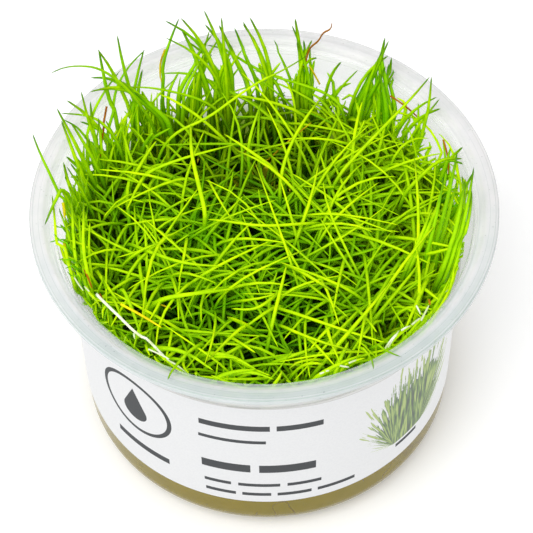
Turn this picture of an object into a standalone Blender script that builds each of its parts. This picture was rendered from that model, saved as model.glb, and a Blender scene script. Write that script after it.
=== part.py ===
"""Dwarf hairgrass growing in its clear cup, with a paper sleeve and growth gel.

The cup stands on the plane z = 0, its axis is Z, and the photographed front faces -Y.
"""

import math
import random

import bmesh
import bpy
from mathutils import Vector

MM = 0.001

# Cup, measured from the rim plane down and from the axis out
FLANGE_RADIUS = 50.0 * MM
CUP_HEIGHT = 64.5 * MM
WALL = 0.8 * MM
BODY_RADIUS = 42.7 * MM
WALL_TAPER = math.radians(2.2)
CORNER_RADIUS = 7.6 * MM
SKIRT_HEIGHT = 1.7 * MM
COLLAR_RADIUS = 45.3 * MM
COLLAR_DEPTH = 7.7 * MM
LEDGE_HEIGHT = 1.4 * MM
MOUTH_LIP = 1.1 * MM
EDGE_ROUND = 0.3 * MM
CUP_SIDES = 40

# Paper sleeve round the wall
SLEEVE_BOTTOM = 12.3 * MM
SLEEVE_TOP = 50.4 * MM
SLEEVE_THICKNESS = 0.3 * MM
GAP = 0.3 * MM

# Growth gel in the bottom of the cup
GEL_TOP = 32.5 * MM
MENISCUS_HEIGHT = 1.5 * MM
MENISCUS_WIDTH = 2.0 * MM

# Plantlets: sheaves fused at the foot, each ending in free blades
CENTRE_TO_INNER = 16.6 * MM
CENTRE_TO_RIM = 32.9 * MM
INNER_COUNT = 6
SHEAF_RADIUS = 7.9 * MM
SHEAF_FOOT_RADIUS = 3.2 * MM
SHEAF_TOP = 51.0 * MM
RING_STEP = 2.0 * MM
SHEAF_RIDGES = 6
RIDGE_RISE = 3.0 * MM
VALLEY_DEPTH = 3.5 * MM
RIDGE_SHARES = (0.3, 1.0)
RIDGE_WIDTHS = (0.93, 1.0)
WAIST_HEIGHT_SHARE = 0.35
WAIST_WIDTH_SHARE = 0.8
CROWN_WIDTH_SHARE = 0.45
WAIST_VALLEY = 0.8
SHOULDER_VALLEY = 0.78
CROWN_VALLEY = 0.7
MAT_BLADES = 9
TALL_BLADES = 6
BLADE_WIDTH = 1.45 * MM
BLADE_TIP_WIDTH = 0.45 * MM
BLADE_SEGMENTS = 3
ROOT_CIRCLE = 4.4 * MM
ROOT_DEPTH = 6.0 * MM
MAT_REACHES = (9.0 * MM, 28.0 * MM)
MAT_HEIGHTS = (57.0 * MM, 65.0 * MM)
TALL_DISTANCES = (33.0 * MM, 48.5 * MM)
TALL_TURN = math.radians(20)
BEND_SHARES = (0.25, 0.5)
BEND_HEIGHTS = (0.8, 1.05)

# How far the blades of each sheaf at the wall rise over the rim, from +X towards +Y
RIM_RISES = [rise * MM for rise in (9, 12, 15, 15, 20, 23, 19, 9, 2, 0, 0, 4)]
RISE_SHARES = (0.4, 1.0)
REACH_LIMIT = 49.2 * MM
TRIES = 400
SEED = 3

# Product of squared lengths under which two stretches count as parallel, in metres to the fourth
PARALLEL_LIMIT = 1e-18

# Pale runner that lies against the wall at the front left
RUNNER_RADIUS = 0.65 * MM
RUNNER_FROM_AXIS = 42.2 * MM
RUNNER_START = math.radians(211)
RUNNER_END = math.radians(252)
RUNNER_START_HEIGHT = 63.6 * MM
RUNNER_END_HEIGHT = 60.2 * MM
RUNNER_POINTS = 12


def clear_scene():
    """Removes whatever the opened file holds."""
    for item in list(bpy.data.objects):
        bpy.data.objects.remove(item)


def finish(name, colour, roughness, alpha=1.0):
    """Makes one plain surface finish."""
    surface = bpy.data.materials.new(name)
    surface.use_nodes = True
    shader = surface.node_tree.nodes["Principled BSDF"]
    shader.inputs["Base Color"].default_value = (*colour, 1.0)
    shader.inputs["Roughness"].default_value = roughness
    shader.inputs["Metallic"].default_value = 0.0
    shader.inputs["Alpha"].default_value = alpha
    return surface


def add_object(name, shape, surface, smooth_angle=35.0):
    """Turns a finished bmesh into a named object with outward faces."""
    if shape.calc_volume(signed=True) < 0.0:
        bmesh.ops.reverse_faces(shape, faces=shape.faces)
    mesh = bpy.data.meshes.new(name)
    shape.to_mesh(mesh)
    shape.free()
    mesh.shade_smooth()
    mesh.set_sharp_from_angle(angle=math.radians(smooth_angle))
    mesh.materials.append(surface)
    piece = bpy.data.objects.new(name, mesh)
    bpy.context.scene.collection.objects.link(piece)
    return piece


def polar(distance, angle, height):
    """Gives the point at a distance and a direction from the cup's axis."""
    return Vector((distance * math.cos(angle), distance * math.sin(angle), height))


def arc(centre, radius, start, end, steps):
    """Samples an arc of an outline as (radius, height) points."""
    turns = [start + (end - start) * step / steps for step in range(steps + 1)]
    return [
        (centre[0] + radius * math.cos(turn), centre[1] + radius * math.sin(turn))
        for turn in turns
    ]


def turned(name, outline, surface):
    """Turns an outline about the cup's axis, closed where it meets the axis."""
    shape = bmesh.new()
    points = [shape.verts.new((radius, 0.0, height)) for radius, height in outline]
    edges = [shape.edges.new(pair) for pair in zip(points, points[1:])]
    if outline[0][0] > 0.0:
        edges.append(shape.edges.new((points[-1], points[0])))
    bmesh.ops.spin(
        shape, geom=points + edges, cent=(0, 0, 0), axis=(0, 0, 1),
        angle=math.tau, steps=CUP_SIDES, use_merge=True,
    )
    bmesh.ops.remove_doubles(shape, verts=shape.verts, dist=0.001 * MM)
    bmesh.ops.recalc_face_normals(shape, faces=shape.faces)
    return add_object(name, shape, surface)


def wall_radius(height):
    """Gives the radius of the cup's outer wall, which widens towards the rim."""
    return BODY_RADIUS - math.tan(WALL_TAPER) * (CUP_HEIGHT - height)


def inner_radius(height):
    """Gives the radius that is free inside the cup."""
    ledge = CUP_HEIGHT - COLLAR_DEPTH
    if height > ledge:
        return COLLAR_RADIUS - WALL
    return wall_radius(height) - WALL


def cup_outline():
    """Outline of the cup: flat base, tapered wall, ledge, collar, flange and skirt."""
    ledge_top = CUP_HEIGHT - COLLAR_DEPTH
    ledge_low = ledge_top - LEDGE_HEIGHT
    under_flange = CUP_HEIGHT - WALL
    corner = (wall_radius(CORNER_RADIUS) - CORNER_RADIUS, CORNER_RADIUS)
    outside = [(0.0, 0.0)]
    outside += arc(corner, CORNER_RADIUS, -math.pi / 2, 0.0, 5)
    outside += [
        (wall_radius(ledge_low), ledge_low),
        (COLLAR_RADIUS, ledge_top),
        (COLLAR_RADIUS, under_flange),
        (FLANGE_RADIUS - WALL, under_flange),
        (FLANGE_RADIUS - WALL, CUP_HEIGHT - SKIRT_HEIGHT),
        (FLANGE_RADIUS, CUP_HEIGHT - SKIRT_HEIGHT),
    ]
    edge = (FLANGE_RADIUS - EDGE_ROUND, CUP_HEIGHT - EDGE_ROUND)
    outside += arc(edge, EDGE_ROUND, 0.0, math.pi / 2, 2)
    lip = (COLLAR_RADIUS - WALL + MOUTH_LIP, CUP_HEIGHT - MOUTH_LIP)
    inside = arc(lip, MOUTH_LIP, math.pi / 2, math.pi, 3)
    inside += [
        (COLLAR_RADIUS - WALL, ledge_top + WALL / 2),
        (wall_radius(ledge_low) - WALL, ledge_low),
    ]
    inside += arc(corner, CORNER_RADIUS - WALL, 0.0, -math.pi / 2, 4)
    inside.append((0.0, WALL))
    return outside + inside


def sleeve_outline():
    """Outline of the paper sleeve, a thin cone that follows the wall."""
    low = wall_radius(SLEEVE_BOTTOM) + GAP
    high = wall_radius(SLEEVE_TOP) + GAP
    return [
        (low, SLEEVE_BOTTOM),
        (low + SLEEVE_THICKNESS, SLEEVE_BOTTOM),
        (high + SLEEVE_THICKNESS, SLEEVE_TOP),
        (high, SLEEVE_TOP),
    ]


def gel_outline():
    """Outline of the gel, which fills the cup's foot and climbs a little at the wall."""
    corner = (wall_radius(CORNER_RADIUS) - CORNER_RADIUS, CORNER_RADIUS)
    edge_height = GEL_TOP + MENISCUS_HEIGHT
    outline = [(0.0, WALL + GAP)]
    outline += arc(corner, CORNER_RADIUS - WALL - GAP, -math.pi / 2, 0.0, 4)
    outline += [
        (inner_radius(edge_height) - GAP, edge_height),
        (inner_radius(edge_height) - GAP - MENISCUS_WIDTH, GEL_TOP),
        (0.0, GEL_TOP),
    ]
    return outline


def runner_line():
    """Centre line of the runner, along the wall and sinking towards the front."""
    line = []
    for step in range(RUNNER_POINTS):
        share = step / (RUNNER_POINTS - 1)
        angle = RUNNER_START + (RUNNER_END - RUNNER_START) * share
        height = RUNNER_START_HEIGHT + (RUNNER_END_HEIGHT - RUNNER_START_HEIGHT) * share
        line.append(polar(RUNNER_FROM_AXIS, angle, height))
    return line


def add_runner(surface):
    """Makes the runner as one bent tube with closed ends."""
    curve = bpy.data.curves.new("runner", "CURVE")
    curve.dimensions = "3D"
    curve.bevel_depth = RUNNER_RADIUS
    curve.bevel_resolution = 1
    curve.use_fill_caps = True
    spline = curve.splines.new("POLY")
    line = runner_line()
    spline.points.add(len(line) - 1)
    for point, place in zip(spline.points, line):
        point.co = (*place, 1.0)
    curve.materials.append(surface)
    piece = bpy.data.objects.new("runner", curve)
    bpy.context.scene.collection.objects.link(piece)


def segment_distance(first, second):
    """Gives the least distance between two straight stretches."""
    start_a, end_a = first
    start_b, end_b = second
    along_a = end_a - start_a
    along_b = end_b - start_b
    offset = start_a - start_b
    aa = along_a.dot(along_a)
    bb = along_b.dot(along_b)
    ab = along_a.dot(along_b)
    oa = along_a.dot(offset)
    ob = along_b.dot(offset)
    spread = aa * bb - ab * ab
    share_a = 0.0
    if spread > PARALLEL_LIMIT:
        share_a = min(1.0, max(0.0, (ab * ob - bb * oa) / spread))
    share_b = min(1.0, max(0.0, (ab * share_a + ob) / bb))
    share_a = min(1.0, max(0.0, (ab * share_b - oa) / aa))
    nearest_a = start_a + along_a * share_a
    nearest_b = start_b + along_b * share_b
    return (nearest_a - nearest_b).length


class Thicket:
    """Keeps what has been placed, so that blades pass beside each other."""

    def __init__(self, places):
        self.places = places
        self.lines = []

    def keep(self, line):
        """Keeps a line, with the middle and the size of the ball that holds it."""
        middle = (line[0] + line[-1]) / 2
        self.lines.append((line, middle, max((point - middle).length for point in line)))

    def clear_of_cup(self, line):
        """Tells whether a blade stays inside the wall and over the flange."""
        for point in line:
            distance = math.hypot(point.x, point.y)
            if distance > REACH_LIMIT:
                return False
            if point.z < CUP_HEIGHT + BLADE_WIDTH and distance > inner_radius(point.z) - BLADE_WIDTH:
                return False
        return True

    def clear_of_sheaves(self, line, own):
        """Tells whether a blade passes over or beside the other sheaves."""
        middles = [(first + second) / 2 for first, second in zip(line, line[1:])]
        for place in self.places:
            over = place.z + RIDGE_RISE + BLADE_WIDTH
            for point in line + middles:
                beside = math.hypot(point.x - place.x, point.y - place.y) > SHEAF_RADIUS + BLADE_WIDTH
                if place != own and point.z < over and not beside:
                    return False
        return True

    def clear_of_blades(self, line):
        """Tells whether a blade keeps clear of all the lines placed so far."""
        clearance = BLADE_WIDTH + GAP
        middle = (line[0] + line[-1]) / 2
        reach = max((point - middle).length for point in line) + clearance
        for other, other_middle, other_reach in self.lines:
            if (middle - other_middle).length > reach + other_reach:
                continue
            for first in zip(line, line[1:]):
                for second in zip(other, other[1:]):
                    if segment_distance(first, second) < clearance:
                        return False
        return True

    def accepts(self, line, own):
        """Tells whether a blade fits, and keeps it if it does."""
        fits = self.clear_of_cup(line) and self.clear_of_sheaves(line, own) and self.clear_of_blades(line)
        if fits:
            self.keep(line)
        return fits


def bent_line(root, bend, tip):
    """Samples the curve that leaves the root towards bend and ends at the tip."""
    line = []
    for step in range(BLADE_SEGMENTS + 1):
        share = step / BLADE_SEGMENTS
        line.append(root.lerp(bend, share).lerp(bend.lerp(tip, share), share))
    return line


def tuft_places():
    """Places of the sheaves: one in the middle, a ring round it and a ring at the wall."""
    places = {"tuft_centre": polar(0.0, 0.0, SHEAF_TOP)}
    for index in range(INNER_COUNT):
        angle = math.tau * (index + 0.5) / INNER_COUNT
        places[f"tuft_inner_{index + 1}"] = polar(CENTRE_TO_INNER, angle, SHEAF_TOP + RING_STEP)
    for index in range(len(RIM_RISES)):
        angle = math.tau * index / len(RIM_RISES)
        places[f"tuft_rim_{index + 1}"] = polar(CENTRE_TO_RIM, angle, SHEAF_TOP - RING_STEP)
    return places


def tall_tip(place, chance):
    """Picks the tip of a tall blade, which leans out over the rim."""
    angle = math.atan2(place.y, place.x)
    rise = RIM_RISES[round(angle / math.tau * len(RIM_RISES)) % len(RIM_RISES)]
    distance = chance.uniform(*TALL_DISTANCES)
    turn = chance.uniform(-TALL_TURN, TALL_TURN)
    return polar(distance, angle + turn, CUP_HEIGHT + rise * chance.uniform(*RISE_SHARES))


def mat_tip(place, chance):
    """Picks the tip of a blade that lies across the middle of the cup."""
    turn = chance.uniform(0.0, math.tau)
    reach = chance.uniform(*MAT_REACHES)
    tip = place + polar(reach, turn, 0.0)
    tip.z = chance.uniform(*MAT_HEIGHTS)
    return tip


def place_blade(place, tall, thicket, chance):
    """Looks for a free path for one blade and gives its centre line, or None."""
    for _ in range(TRIES):
        root = place + polar(ROOT_CIRCLE, chance.uniform(0.0, math.tau), -ROOT_DEPTH)
        tip = tall_tip(place, chance) if tall else mat_tip(place, chance)
        bend = root.lerp(tip, chance.uniform(*BEND_SHARES))
        bend.z = root.z + (tip.z - root.z) * chance.uniform(*BEND_HEIGHTS)
        line = bent_line(root, bend, tip)
        if thicket.accepts(line, place):
            return line
    return None


def add_blade(shape, line):
    """Builds one three-sided blade that bends in an upright plane and ends in a point."""
    side = (line[-1] - line[0]).cross(Vector((0.0, 0.0, 1.0))).normalized()
    rings = []
    for index, point in enumerate(line[:-1]):
        ahead = (line[index + 1] - line[max(index - 1, 0)]).normalized()
        other = ahead.cross(side)
        share = index / (len(line) - 1)
        half = (BLADE_WIDTH + (BLADE_TIP_WIDTH - BLADE_WIDTH) * share ** 2) / 2
        corners = [math.tau * corner / 3 for corner in range(3)]
        places = [point + (side * math.cos(turn) + other * math.sin(turn)) * half for turn in corners]
        rings.append([shape.verts.new(place) for place in places])
    tip = shape.verts.new(line[-1])
    shape.faces.new(rings[0][::-1])
    for low, high in zip(rings, rings[1:]):
        for corner in range(3):
            following = (corner + 1) % 3
            shape.faces.new((low[corner], low[following], high[following], high[corner]))
    for corner in range(3):
        shape.faces.new((rings[-1][corner], rings[-1][(corner + 1) % 3], tip))


def ridged_ring(shape, axis, height, radius, valley, chance):
    """Adds one ring of a sheaf, whose corners are ridges and valleys by turns."""
    ring = []
    for corner in range(2 * SHEAF_RIDGES):
        angle = math.tau * corner / (2 * SHEAF_RIDGES)
        ridge = corner % 2 == 0
        spread = radius * (chance.uniform(*RIDGE_WIDTHS) if ridge else valley)
        lift = chance.uniform(*RIDGE_SHARES) * (RIDGE_RISE if ridge else -VALLEY_DEPTH)
        ring.append(shape.verts.new(axis + polar(spread, angle, height + lift)))
    return ring


def sheaf_shape(place, chance):
    """Builds the fused lower part of a plantlet: ridged, narrow at the foot, ragged on top."""
    foot = GEL_TOP + GAP
    waist = foot + WAIST_HEIGHT_SHARE * (place.z - foot)
    axis = Vector((place.x, place.y, 0.0))
    corners = [math.tau * corner / (2 * SHEAF_RIDGES) for corner in range(2 * SHEAF_RIDGES)]
    shape = bmesh.new()
    rings = [
        [shape.verts.new(axis + polar(SHEAF_FOOT_RADIUS, angle, foot)) for angle in corners],
        ridged_ring(shape, axis, waist, WAIST_WIDTH_SHARE * SHEAF_RADIUS, WAIST_VALLEY, chance),
        ridged_ring(shape, axis, place.z, SHEAF_RADIUS, SHOULDER_VALLEY, chance),
        ridged_ring(shape, axis, place.z, CROWN_WIDTH_SHARE * SHEAF_RADIUS, CROWN_VALLEY, chance),
    ]
    top = shape.verts.new(place + Vector((0.0, 0.0, RIDGE_RISE)))
    shape.faces.new(rings[0][::-1])
    for low, high in zip(rings, rings[1:]):
        for side in range(len(corners)):
            following = (side + 1) % len(corners)
            shape.faces.new((low[side], low[following], high[following], high[side]))
    for side in range(len(corners)):
        shape.faces.new((rings[-1][side], rings[-1][(side + 1) % len(corners)], top))
    return shape


def add_tuft(name, place, lines, surface, chance):
    """Joins a sheaf and its blades into one closed body."""
    sheaf = add_object(name, sheaf_shape(place, chance), surface)
    blades_shape = bmesh.new()
    for line in lines:
        add_blade(blades_shape, line)
    blades = add_object(f"{name}_blades", blades_shape, surface)
    blades.hide_render = True
    blades.display_type = "WIRE"
    union = sheaf.modifiers.new("grow_blades", "BOOLEAN")
    union.operation = "UNION"
    union.solver = "EXACT"
    union.object = blades


def add_tufts(surface):
    """Makes all the plantlets, with blades that pass beside each other."""
    chance = random.Random(SEED)
    places = tuft_places()
    thicket = Thicket(list(places.values()))
    thicket.keep(runner_line())
    blades = {name: [] for name in places}
    for index in range(TALL_BLADES + MAT_BLADES):
        for name, place in places.items():
            tall = name.startswith("tuft_rim") and index < TALL_BLADES
            line = place_blade(place, tall, thicket, chance)
            if line:
                blades[name].append(line)
    for name, place in places.items():
        add_tuft(name, place, blades[name], surface, chance)


def main():
    clear_scene()
    clear_plastic = finish("clear_plastic", (0.86, 0.89, 0.89), 0.25, alpha=0.45)
    paper = finish("white_paper", (0.86, 0.87, 0.89), 0.6)
    gel = finish("growth_gel", (0.25, 0.2, 0.05), 0.3)
    leaf = finish("fresh_leaf", (0.25, 0.52, 0.01), 0.45)
    pale = finish("pale_runner", (0.72, 0.78, 0.5), 0.5)
    turned("cup", cup_outline(), clear_plastic)
    turned("paper_sleeve", sleeve_outline(), paper)
    turned("growth_gel", gel_outline(), gel)
    add_runner(pale)
    add_tufts(leaf)


main()
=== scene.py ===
# %% [markdown]
# Dwarf hairgrass is a carpet plant for aquariums. It is sold as a small turf that was grown on gel
# in a clear cup. The frame holds the real sizes of the cup, its paper sleeve, the gel and the
# plantlets, so it is loaded first, and everything made here is measured from it.

# %% Load the frame
import math

import bmesh
import bpy
import numpy as np
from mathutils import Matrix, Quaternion, Vector, noise


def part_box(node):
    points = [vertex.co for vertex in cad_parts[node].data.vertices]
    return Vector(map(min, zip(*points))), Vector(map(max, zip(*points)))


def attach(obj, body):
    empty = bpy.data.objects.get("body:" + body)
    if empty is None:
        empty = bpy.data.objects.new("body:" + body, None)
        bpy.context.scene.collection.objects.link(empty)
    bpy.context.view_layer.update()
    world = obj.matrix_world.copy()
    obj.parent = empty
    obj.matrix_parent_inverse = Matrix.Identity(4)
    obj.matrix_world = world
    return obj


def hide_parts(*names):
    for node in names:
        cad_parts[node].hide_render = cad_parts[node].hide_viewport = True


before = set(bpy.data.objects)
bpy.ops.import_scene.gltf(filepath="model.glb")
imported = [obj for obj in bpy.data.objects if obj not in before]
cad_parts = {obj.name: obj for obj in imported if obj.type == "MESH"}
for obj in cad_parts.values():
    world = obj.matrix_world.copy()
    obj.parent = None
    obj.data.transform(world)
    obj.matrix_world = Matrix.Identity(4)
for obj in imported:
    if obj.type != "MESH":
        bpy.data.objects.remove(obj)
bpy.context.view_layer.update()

MM = 0.001
cup_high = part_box("cup")[1]
sleeve_low, sleeve_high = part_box("paper_sleeve")
gel_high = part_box("growth_gel")[1]
RIM = cup_high[2]
FLANGE = cup_high[0]
print("cup", round(2 * FLANGE / MM, 1), "mm across and", round(RIM / MM, 1), "mm high")

# %% [markdown]
# The photograph was taken from the front, looking down by a little over fifty degrees, with a long
# lens. A long lens far away keeps the rim's ellipse nearly even, and a short lens near by would
# make its front much wider than its back. The distance, the height and the small turns below were
# found by fitting the flange, the mouth and the wall to their outlines in the photograph.

# %% Place the camera
PHOTO_SIDE = 533
FOCAL_PIXELS = 3290.0
SENSOR = 36.0
CAMERA_DISTANCE = 0.700
CAMERA_ELEVATION = math.radians(52.38)
CAMERA_PAN = math.radians(-0.02)
CAMERA_TILT = math.radians(-1.04)
CAMERA_ROLL = math.radians(1.25)


def camera_turn():
    """Gives the camera's turn: down onto the rim, then the small pan, tilt and roll."""
    ahead = Vector((0, math.cos(CAMERA_ELEVATION), -math.sin(CAMERA_ELEVATION)))
    right = Vector((1, 0, 0))
    up = right.cross(ahead)
    turn = ahead.to_track_quat("-Z", "Y")
    pan = Quaternion(up, CAMERA_PAN)
    tilt = Quaternion(pan @ right, CAMERA_TILT)
    roll = Quaternion(tilt @ pan @ ahead, CAMERA_ROLL)
    return roll @ tilt @ pan @ turn


def add_camera():
    lens = bpy.data.cameras.new("camera")
    lens.sensor_width = SENSOR
    lens.lens = FOCAL_PIXELS / PHOTO_SIDE * SENSOR
    camera = bpy.data.objects.new("camera", lens)
    bpy.context.scene.collection.objects.link(camera)
    rise = CAMERA_DISTANCE * math.sin(CAMERA_ELEVATION)
    camera.location = (0, -CAMERA_DISTANCE * math.cos(CAMERA_ELEVATION), RIM + rise)
    camera.rotation_mode = "QUATERNION"
    camera.rotation_quaternion = camera_turn()
    bpy.context.scene.camera = camera
    print("lens", round(lens.lens), "mm")


add_camera()

# %% [markdown]
# The picture has a plain white ground and no hard shadow. A pale floor under an even white sky
# gives that, and the floor glows a little, like a lit table, which lifts the shadow at the foot.
# One wide soft lamp above the left front adds the bright edge on each blade, which an even sky
# alone would leave flat.

# %% Floor and light
WHITE = (1, 1, 1)
FLOOR_TONE = (0.93, 0.93, 0.93)
FLOOR_GLOW = 0.13
FLOOR_REACH = 2.0
FLOOR_DROP = 0.1 * MM
SKY_STRENGTH = 0.82
LAMP_POWER = 6.2
LAMP_SIDE = 0.7
LAMP_PLACE = Vector((-0.3, -0.48, 0.9))


def principled(name, colour, roughness, **sockets):
    """Makes a surface finish and gives it with its shader, so that nodes can be added."""
    surface = bpy.data.materials.new(name)
    surface.use_nodes = True
    shader = surface.node_tree.nodes["Principled BSDF"]
    shader.inputs["Base Color"].default_value = (*colour, 1.0)
    shader.inputs["Roughness"].default_value = roughness
    for socket, value in sockets.items():
        shader.inputs[socket.replace("_", " ").title().replace("Ior", "IOR")].default_value = value
    return surface, shader


def finish_mesh(name, shape, surface, smooth_angle=40.0):
    """Makes an object of a finished bmesh."""
    mesh = bpy.data.meshes.new(name)
    shape.to_mesh(mesh)
    shape.free()
    mesh.shade_smooth()
    mesh.set_sharp_from_angle(angle=math.radians(smooth_angle))
    mesh.materials.append(surface)
    piece = bpy.data.objects.new(name, mesh)
    bpy.context.scene.collection.objects.link(piece)
    return piece


def add_floor():
    shape = bmesh.new()
    bmesh.ops.create_grid(shape, x_segments=1, y_segments=1, size=FLOOR_REACH)
    bmesh.ops.translate(shape, verts=shape.verts, vec=(0, 0, -FLOOR_DROP))
    surface, shader = principled("pale_floor", FLOOR_TONE, 0.9, specular_ior_level=0.1)
    shader.inputs["Emission Color"].default_value = (*WHITE, 1)
    shader.inputs["Emission Strength"].default_value = FLOOR_GLOW
    finish_mesh("floor", shape, surface)


def add_light():
    world = bpy.data.worlds.new("studio")
    world.use_nodes = True
    sky = world.node_tree.nodes["Background"]
    sky.inputs["Color"].default_value = (*WHITE, 1)
    sky.inputs["Strength"].default_value = SKY_STRENGTH
    bpy.context.scene.world = world
    lamp = bpy.data.lights.new("softbox", "AREA")
    lamp.shape = "SQUARE"
    lamp.size = LAMP_SIDE
    lamp.energy = LAMP_POWER
    holder = bpy.data.objects.new("softbox", lamp)
    bpy.context.scene.collection.objects.link(holder)
    holder.location = LAMP_PLACE
    holder.rotation_euler = (Vector((0, 0, RIM)) - LAMP_PLACE).to_track_quat("-Z", "Y").to_euler()
    bpy.context.scene.view_settings.view_transform = "Standard"


add_floor()
add_light()

# %% [markdown]
# The cup is one thin moulding of clear, slightly milky plastic: a flat base, a rounded corner, a
# wall that widens a little, a ledge, a wider collar and a flat flange with a short skirt. It is a
# turned shape, so half its outline is drawn as points and spun about the axis. The frame's cup has
# forty sides, and this one has far more, because clear plastic shows every facet.

# %% Turned outlines
WALL = 0.8 * MM
TAPER = math.radians(2.2)
BODY_AT_RIM = 42.7 * MM
CORNER = 7.6 * MM
COLLAR = 45.3 * MM
COLLAR_DEPTH = 7.7 * MM
LEDGE = 1.4 * MM
SKIRT = 1.7 * MM
TURN_STEPS = 160


def wall_radius(height):
    """Outer radius of the wall, which widens towards the rim."""
    return BODY_AT_RIM - math.tan(TAPER) * (RIM - height)


def arc(centre, radius, start, end, steps):
    """Points along a round stretch of an outline."""
    turns = [math.radians(start + (end - start) * step / steps) for step in range(steps + 1)]
    return [(centre[0] + radius * math.cos(a), centre[1] + radius * math.sin(a)) for a in turns]


def spun(outline, steps=TURN_STEPS):
    """Spins an outline of (radius, height) points about the cup's axis."""
    shape = bmesh.new()
    points = [shape.verts.new((radius, 0, height)) for radius, height in outline]
    edges = [shape.edges.new(pair) for pair in zip(points, points[1:])]
    if outline[0][0] > 0:
        edges.append(shape.edges.new((points[-1], points[0])))
    bmesh.ops.spin(
        shape, geom=points + edges, cent=(0, 0, 0), axis=(0, 0, 1),
        angle=math.tau, steps=steps, use_merge=True,
    )
    bmesh.ops.remove_doubles(shape, verts=shape.verts, dist=0.001 * MM)
    bmesh.ops.recalc_face_normals(shape, faces=shape.faces)
    return shape


# %% Outline of the cup
FLANGE_RINGS = (48.2 * MM, 49.2 * MM)
RING_DEPTH = 0.02 * MM
RING_WIDTH = 0.2 * MM
EDGE_ROUND = 0.2 * MM
COLLAR_STEP = 0.3 * MM
# Distance from the axis and depth under the rim, in millimetres, of the step and lip at the mouth
# and of the same stretch on the underside.
LIP_TOP = [(47.2, 0), (46.9, 0.2), (46.3, 0.6), (45.7, 0.75), (45.2, 1.0), (44.8, 1.4), (44.55, 2.0)]
LIP_UNDER = [(45.3, 2.7), (45.5, 2.1), (45.9, 1.6), (46.4, 1.4), (47.0, 1.0), (47.5, 0.8)]


def below_rim(stretch):
    """Turns distances and depths in millimetres into (radius, height) points."""
    return [(radius * MM, RIM - depth * MM) for radius, depth in stretch]


def flange_top():
    """Top of the flange from its edge inwards, with faint moulded rings."""
    points = []
    for ring in reversed(FLANGE_RINGS):
        points += [(ring + RING_WIDTH, RIM), (ring, RIM - RING_DEPTH), (ring - RING_WIDTH, RIM)]
    return points


def cup_outline():
    ledge_top = RIM - COLLAR_DEPTH
    ledge_low = ledge_top - LEDGE
    corner = (wall_radius(CORNER) - CORNER, CORNER)
    outside = [(0, 0)] + arc(corner, CORNER, -90, 0, 14)
    outside += [(wall_radius(ledge_low), ledge_low)]
    outside += [(COLLAR - COLLAR_STEP, ledge_top), (COLLAR, ledge_top + LEDGE)]
    outside += below_rim(LIP_UNDER) + [(FLANGE - WALL, RIM - WALL)]
    outside += arc((FLANGE - WALL / 2, RIM - SKIRT + WALL / 2), WALL / 2, 180, 360, 6)
    outside += arc((FLANGE - EDGE_ROUND, RIM - EDGE_ROUND), EDGE_ROUND, 0, 90, 3)
    inner_collar = COLLAR - WALL
    inside = below_rim(LIP_TOP) + [(inner_collar, ledge_top + LEDGE)]
    inside += [(inner_collar - COLLAR_STEP, ledge_top + 0.5 * MM)]
    inside += [(wall_radius(ledge_low) - WALL, ledge_low + 0.1 * MM)]
    inside += arc(corner, CORNER - WALL, 0, -90, 12) + [(0, WALL)]
    return outside + flange_top() + inside


# %% [markdown]
# A finish in Blender is a web of shader nodes. Written out node by node it can hardly be read, so
# two small classes are made first. One is a number that nodes work out at each point, which can be
# added and multiplied like any other. The other is the finish, whose methods add the nodes.

# %% Numbers and finishes
class Number:
    """A number that shader nodes work out at each point of a surface."""

    def __init__(self, finish, socket):
        self.finish = finish
        self.socket = socket

    def __add__(self, other):
        return self.finish.calc("ADD", self, other)

    def __sub__(self, other):
        return self.finish.calc("SUBTRACT", self, other)

    def __mul__(self, other):
        return self.finish.calc("MULTIPLY", self, other)


# %% A finish and its nodes
class Finish:
    """A surface finish. Its methods add shader nodes and give what these work out."""

    def __init__(self, name, colour, roughness, **sockets):
        self.surface, self.shader = principled(name, colour, roughness, **sockets)
        self.nodes = self.surface.node_tree.nodes
        self.links = self.surface.node_tree.links

    def plug(self, value, socket):
        """Links a number or colour to a socket, or sets a plain value there."""
        value = value.socket if isinstance(value, Number) else value
        if isinstance(value, bpy.types.NodeSocket):
            self.links.new(value, socket)
        else:
            socket.default_value = value

    def node(self, kind, inputs, **settings):
        """Adds a node, with what goes into its inputs and with its settings."""
        node = self.nodes.new("ShaderNode" + kind)
        for name, value in settings.items():
            setattr(node, name, value)
        for name, value in inputs.items():
            self.plug(value, node.inputs[name])
        return node

    def calc(self, operation, *values):
        """Adds one step of arithmetic."""
        step = self.node("Math", dict(enumerate(values)), operation=operation)
        return Number(self, step.outputs["Value"])

    def ramp(self, value, stops):
        """Picks a colour by a value from (place, tone) stops. A plain number is a grey tone."""
        ramp = self.node("ValToRGB", {"Fac": value})
        elements = ramp.color_ramp.elements
        while len(elements) < len(stops):
            elements.new(0.5)
        for element, (place, tone) in zip(elements, stops):
            tone = tone if isinstance(tone, tuple) else (tone, tone, tone)
            element.position = place
            element.color = tone if len(tone) == 4 else (*tone, 1.0)
        return ramp.outputs["Color"]

    def mix(self, way, factor, first, second):
        """Joins two colours in one of Blender's mixing ways."""
        mix = self.node("Mix", {}, data_type="RGBA", blend_type=way)
        for name, value in (("Factor", factor), ("A", first), ("B", second)):
            value = (*value, 1.0) if isinstance(value, tuple) else value
            self.plug(value, next(each for each in mix.inputs if each.name == name and each.enabled))
        return next(each for each in mix.outputs if each.enabled)

    def blend(self, factor, first, second):
        """Goes from a first colour to a second one."""
        return self.mix("MIX", factor, first, second)

    def tinted(self, colour, tone, factor=1.0):
        """Multiplies a colour by a tone."""
        return self.mix("MULTIPLY", factor, colour, tone)

    def drive(self, value, *sockets):
        """Lets a number or colour drive sockets of the shader."""
        for socket in sockets:
            self.plug(value, self.shader.inputs[socket])

    def bump(self, value, strength, distance):
        """Raises the surface by a pattern."""
        bump = self.node("Bump", {"Height": value, "Strength": strength, "Distance": distance})
        self.drive(bump.outputs["Normal"], "Normal")


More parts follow.
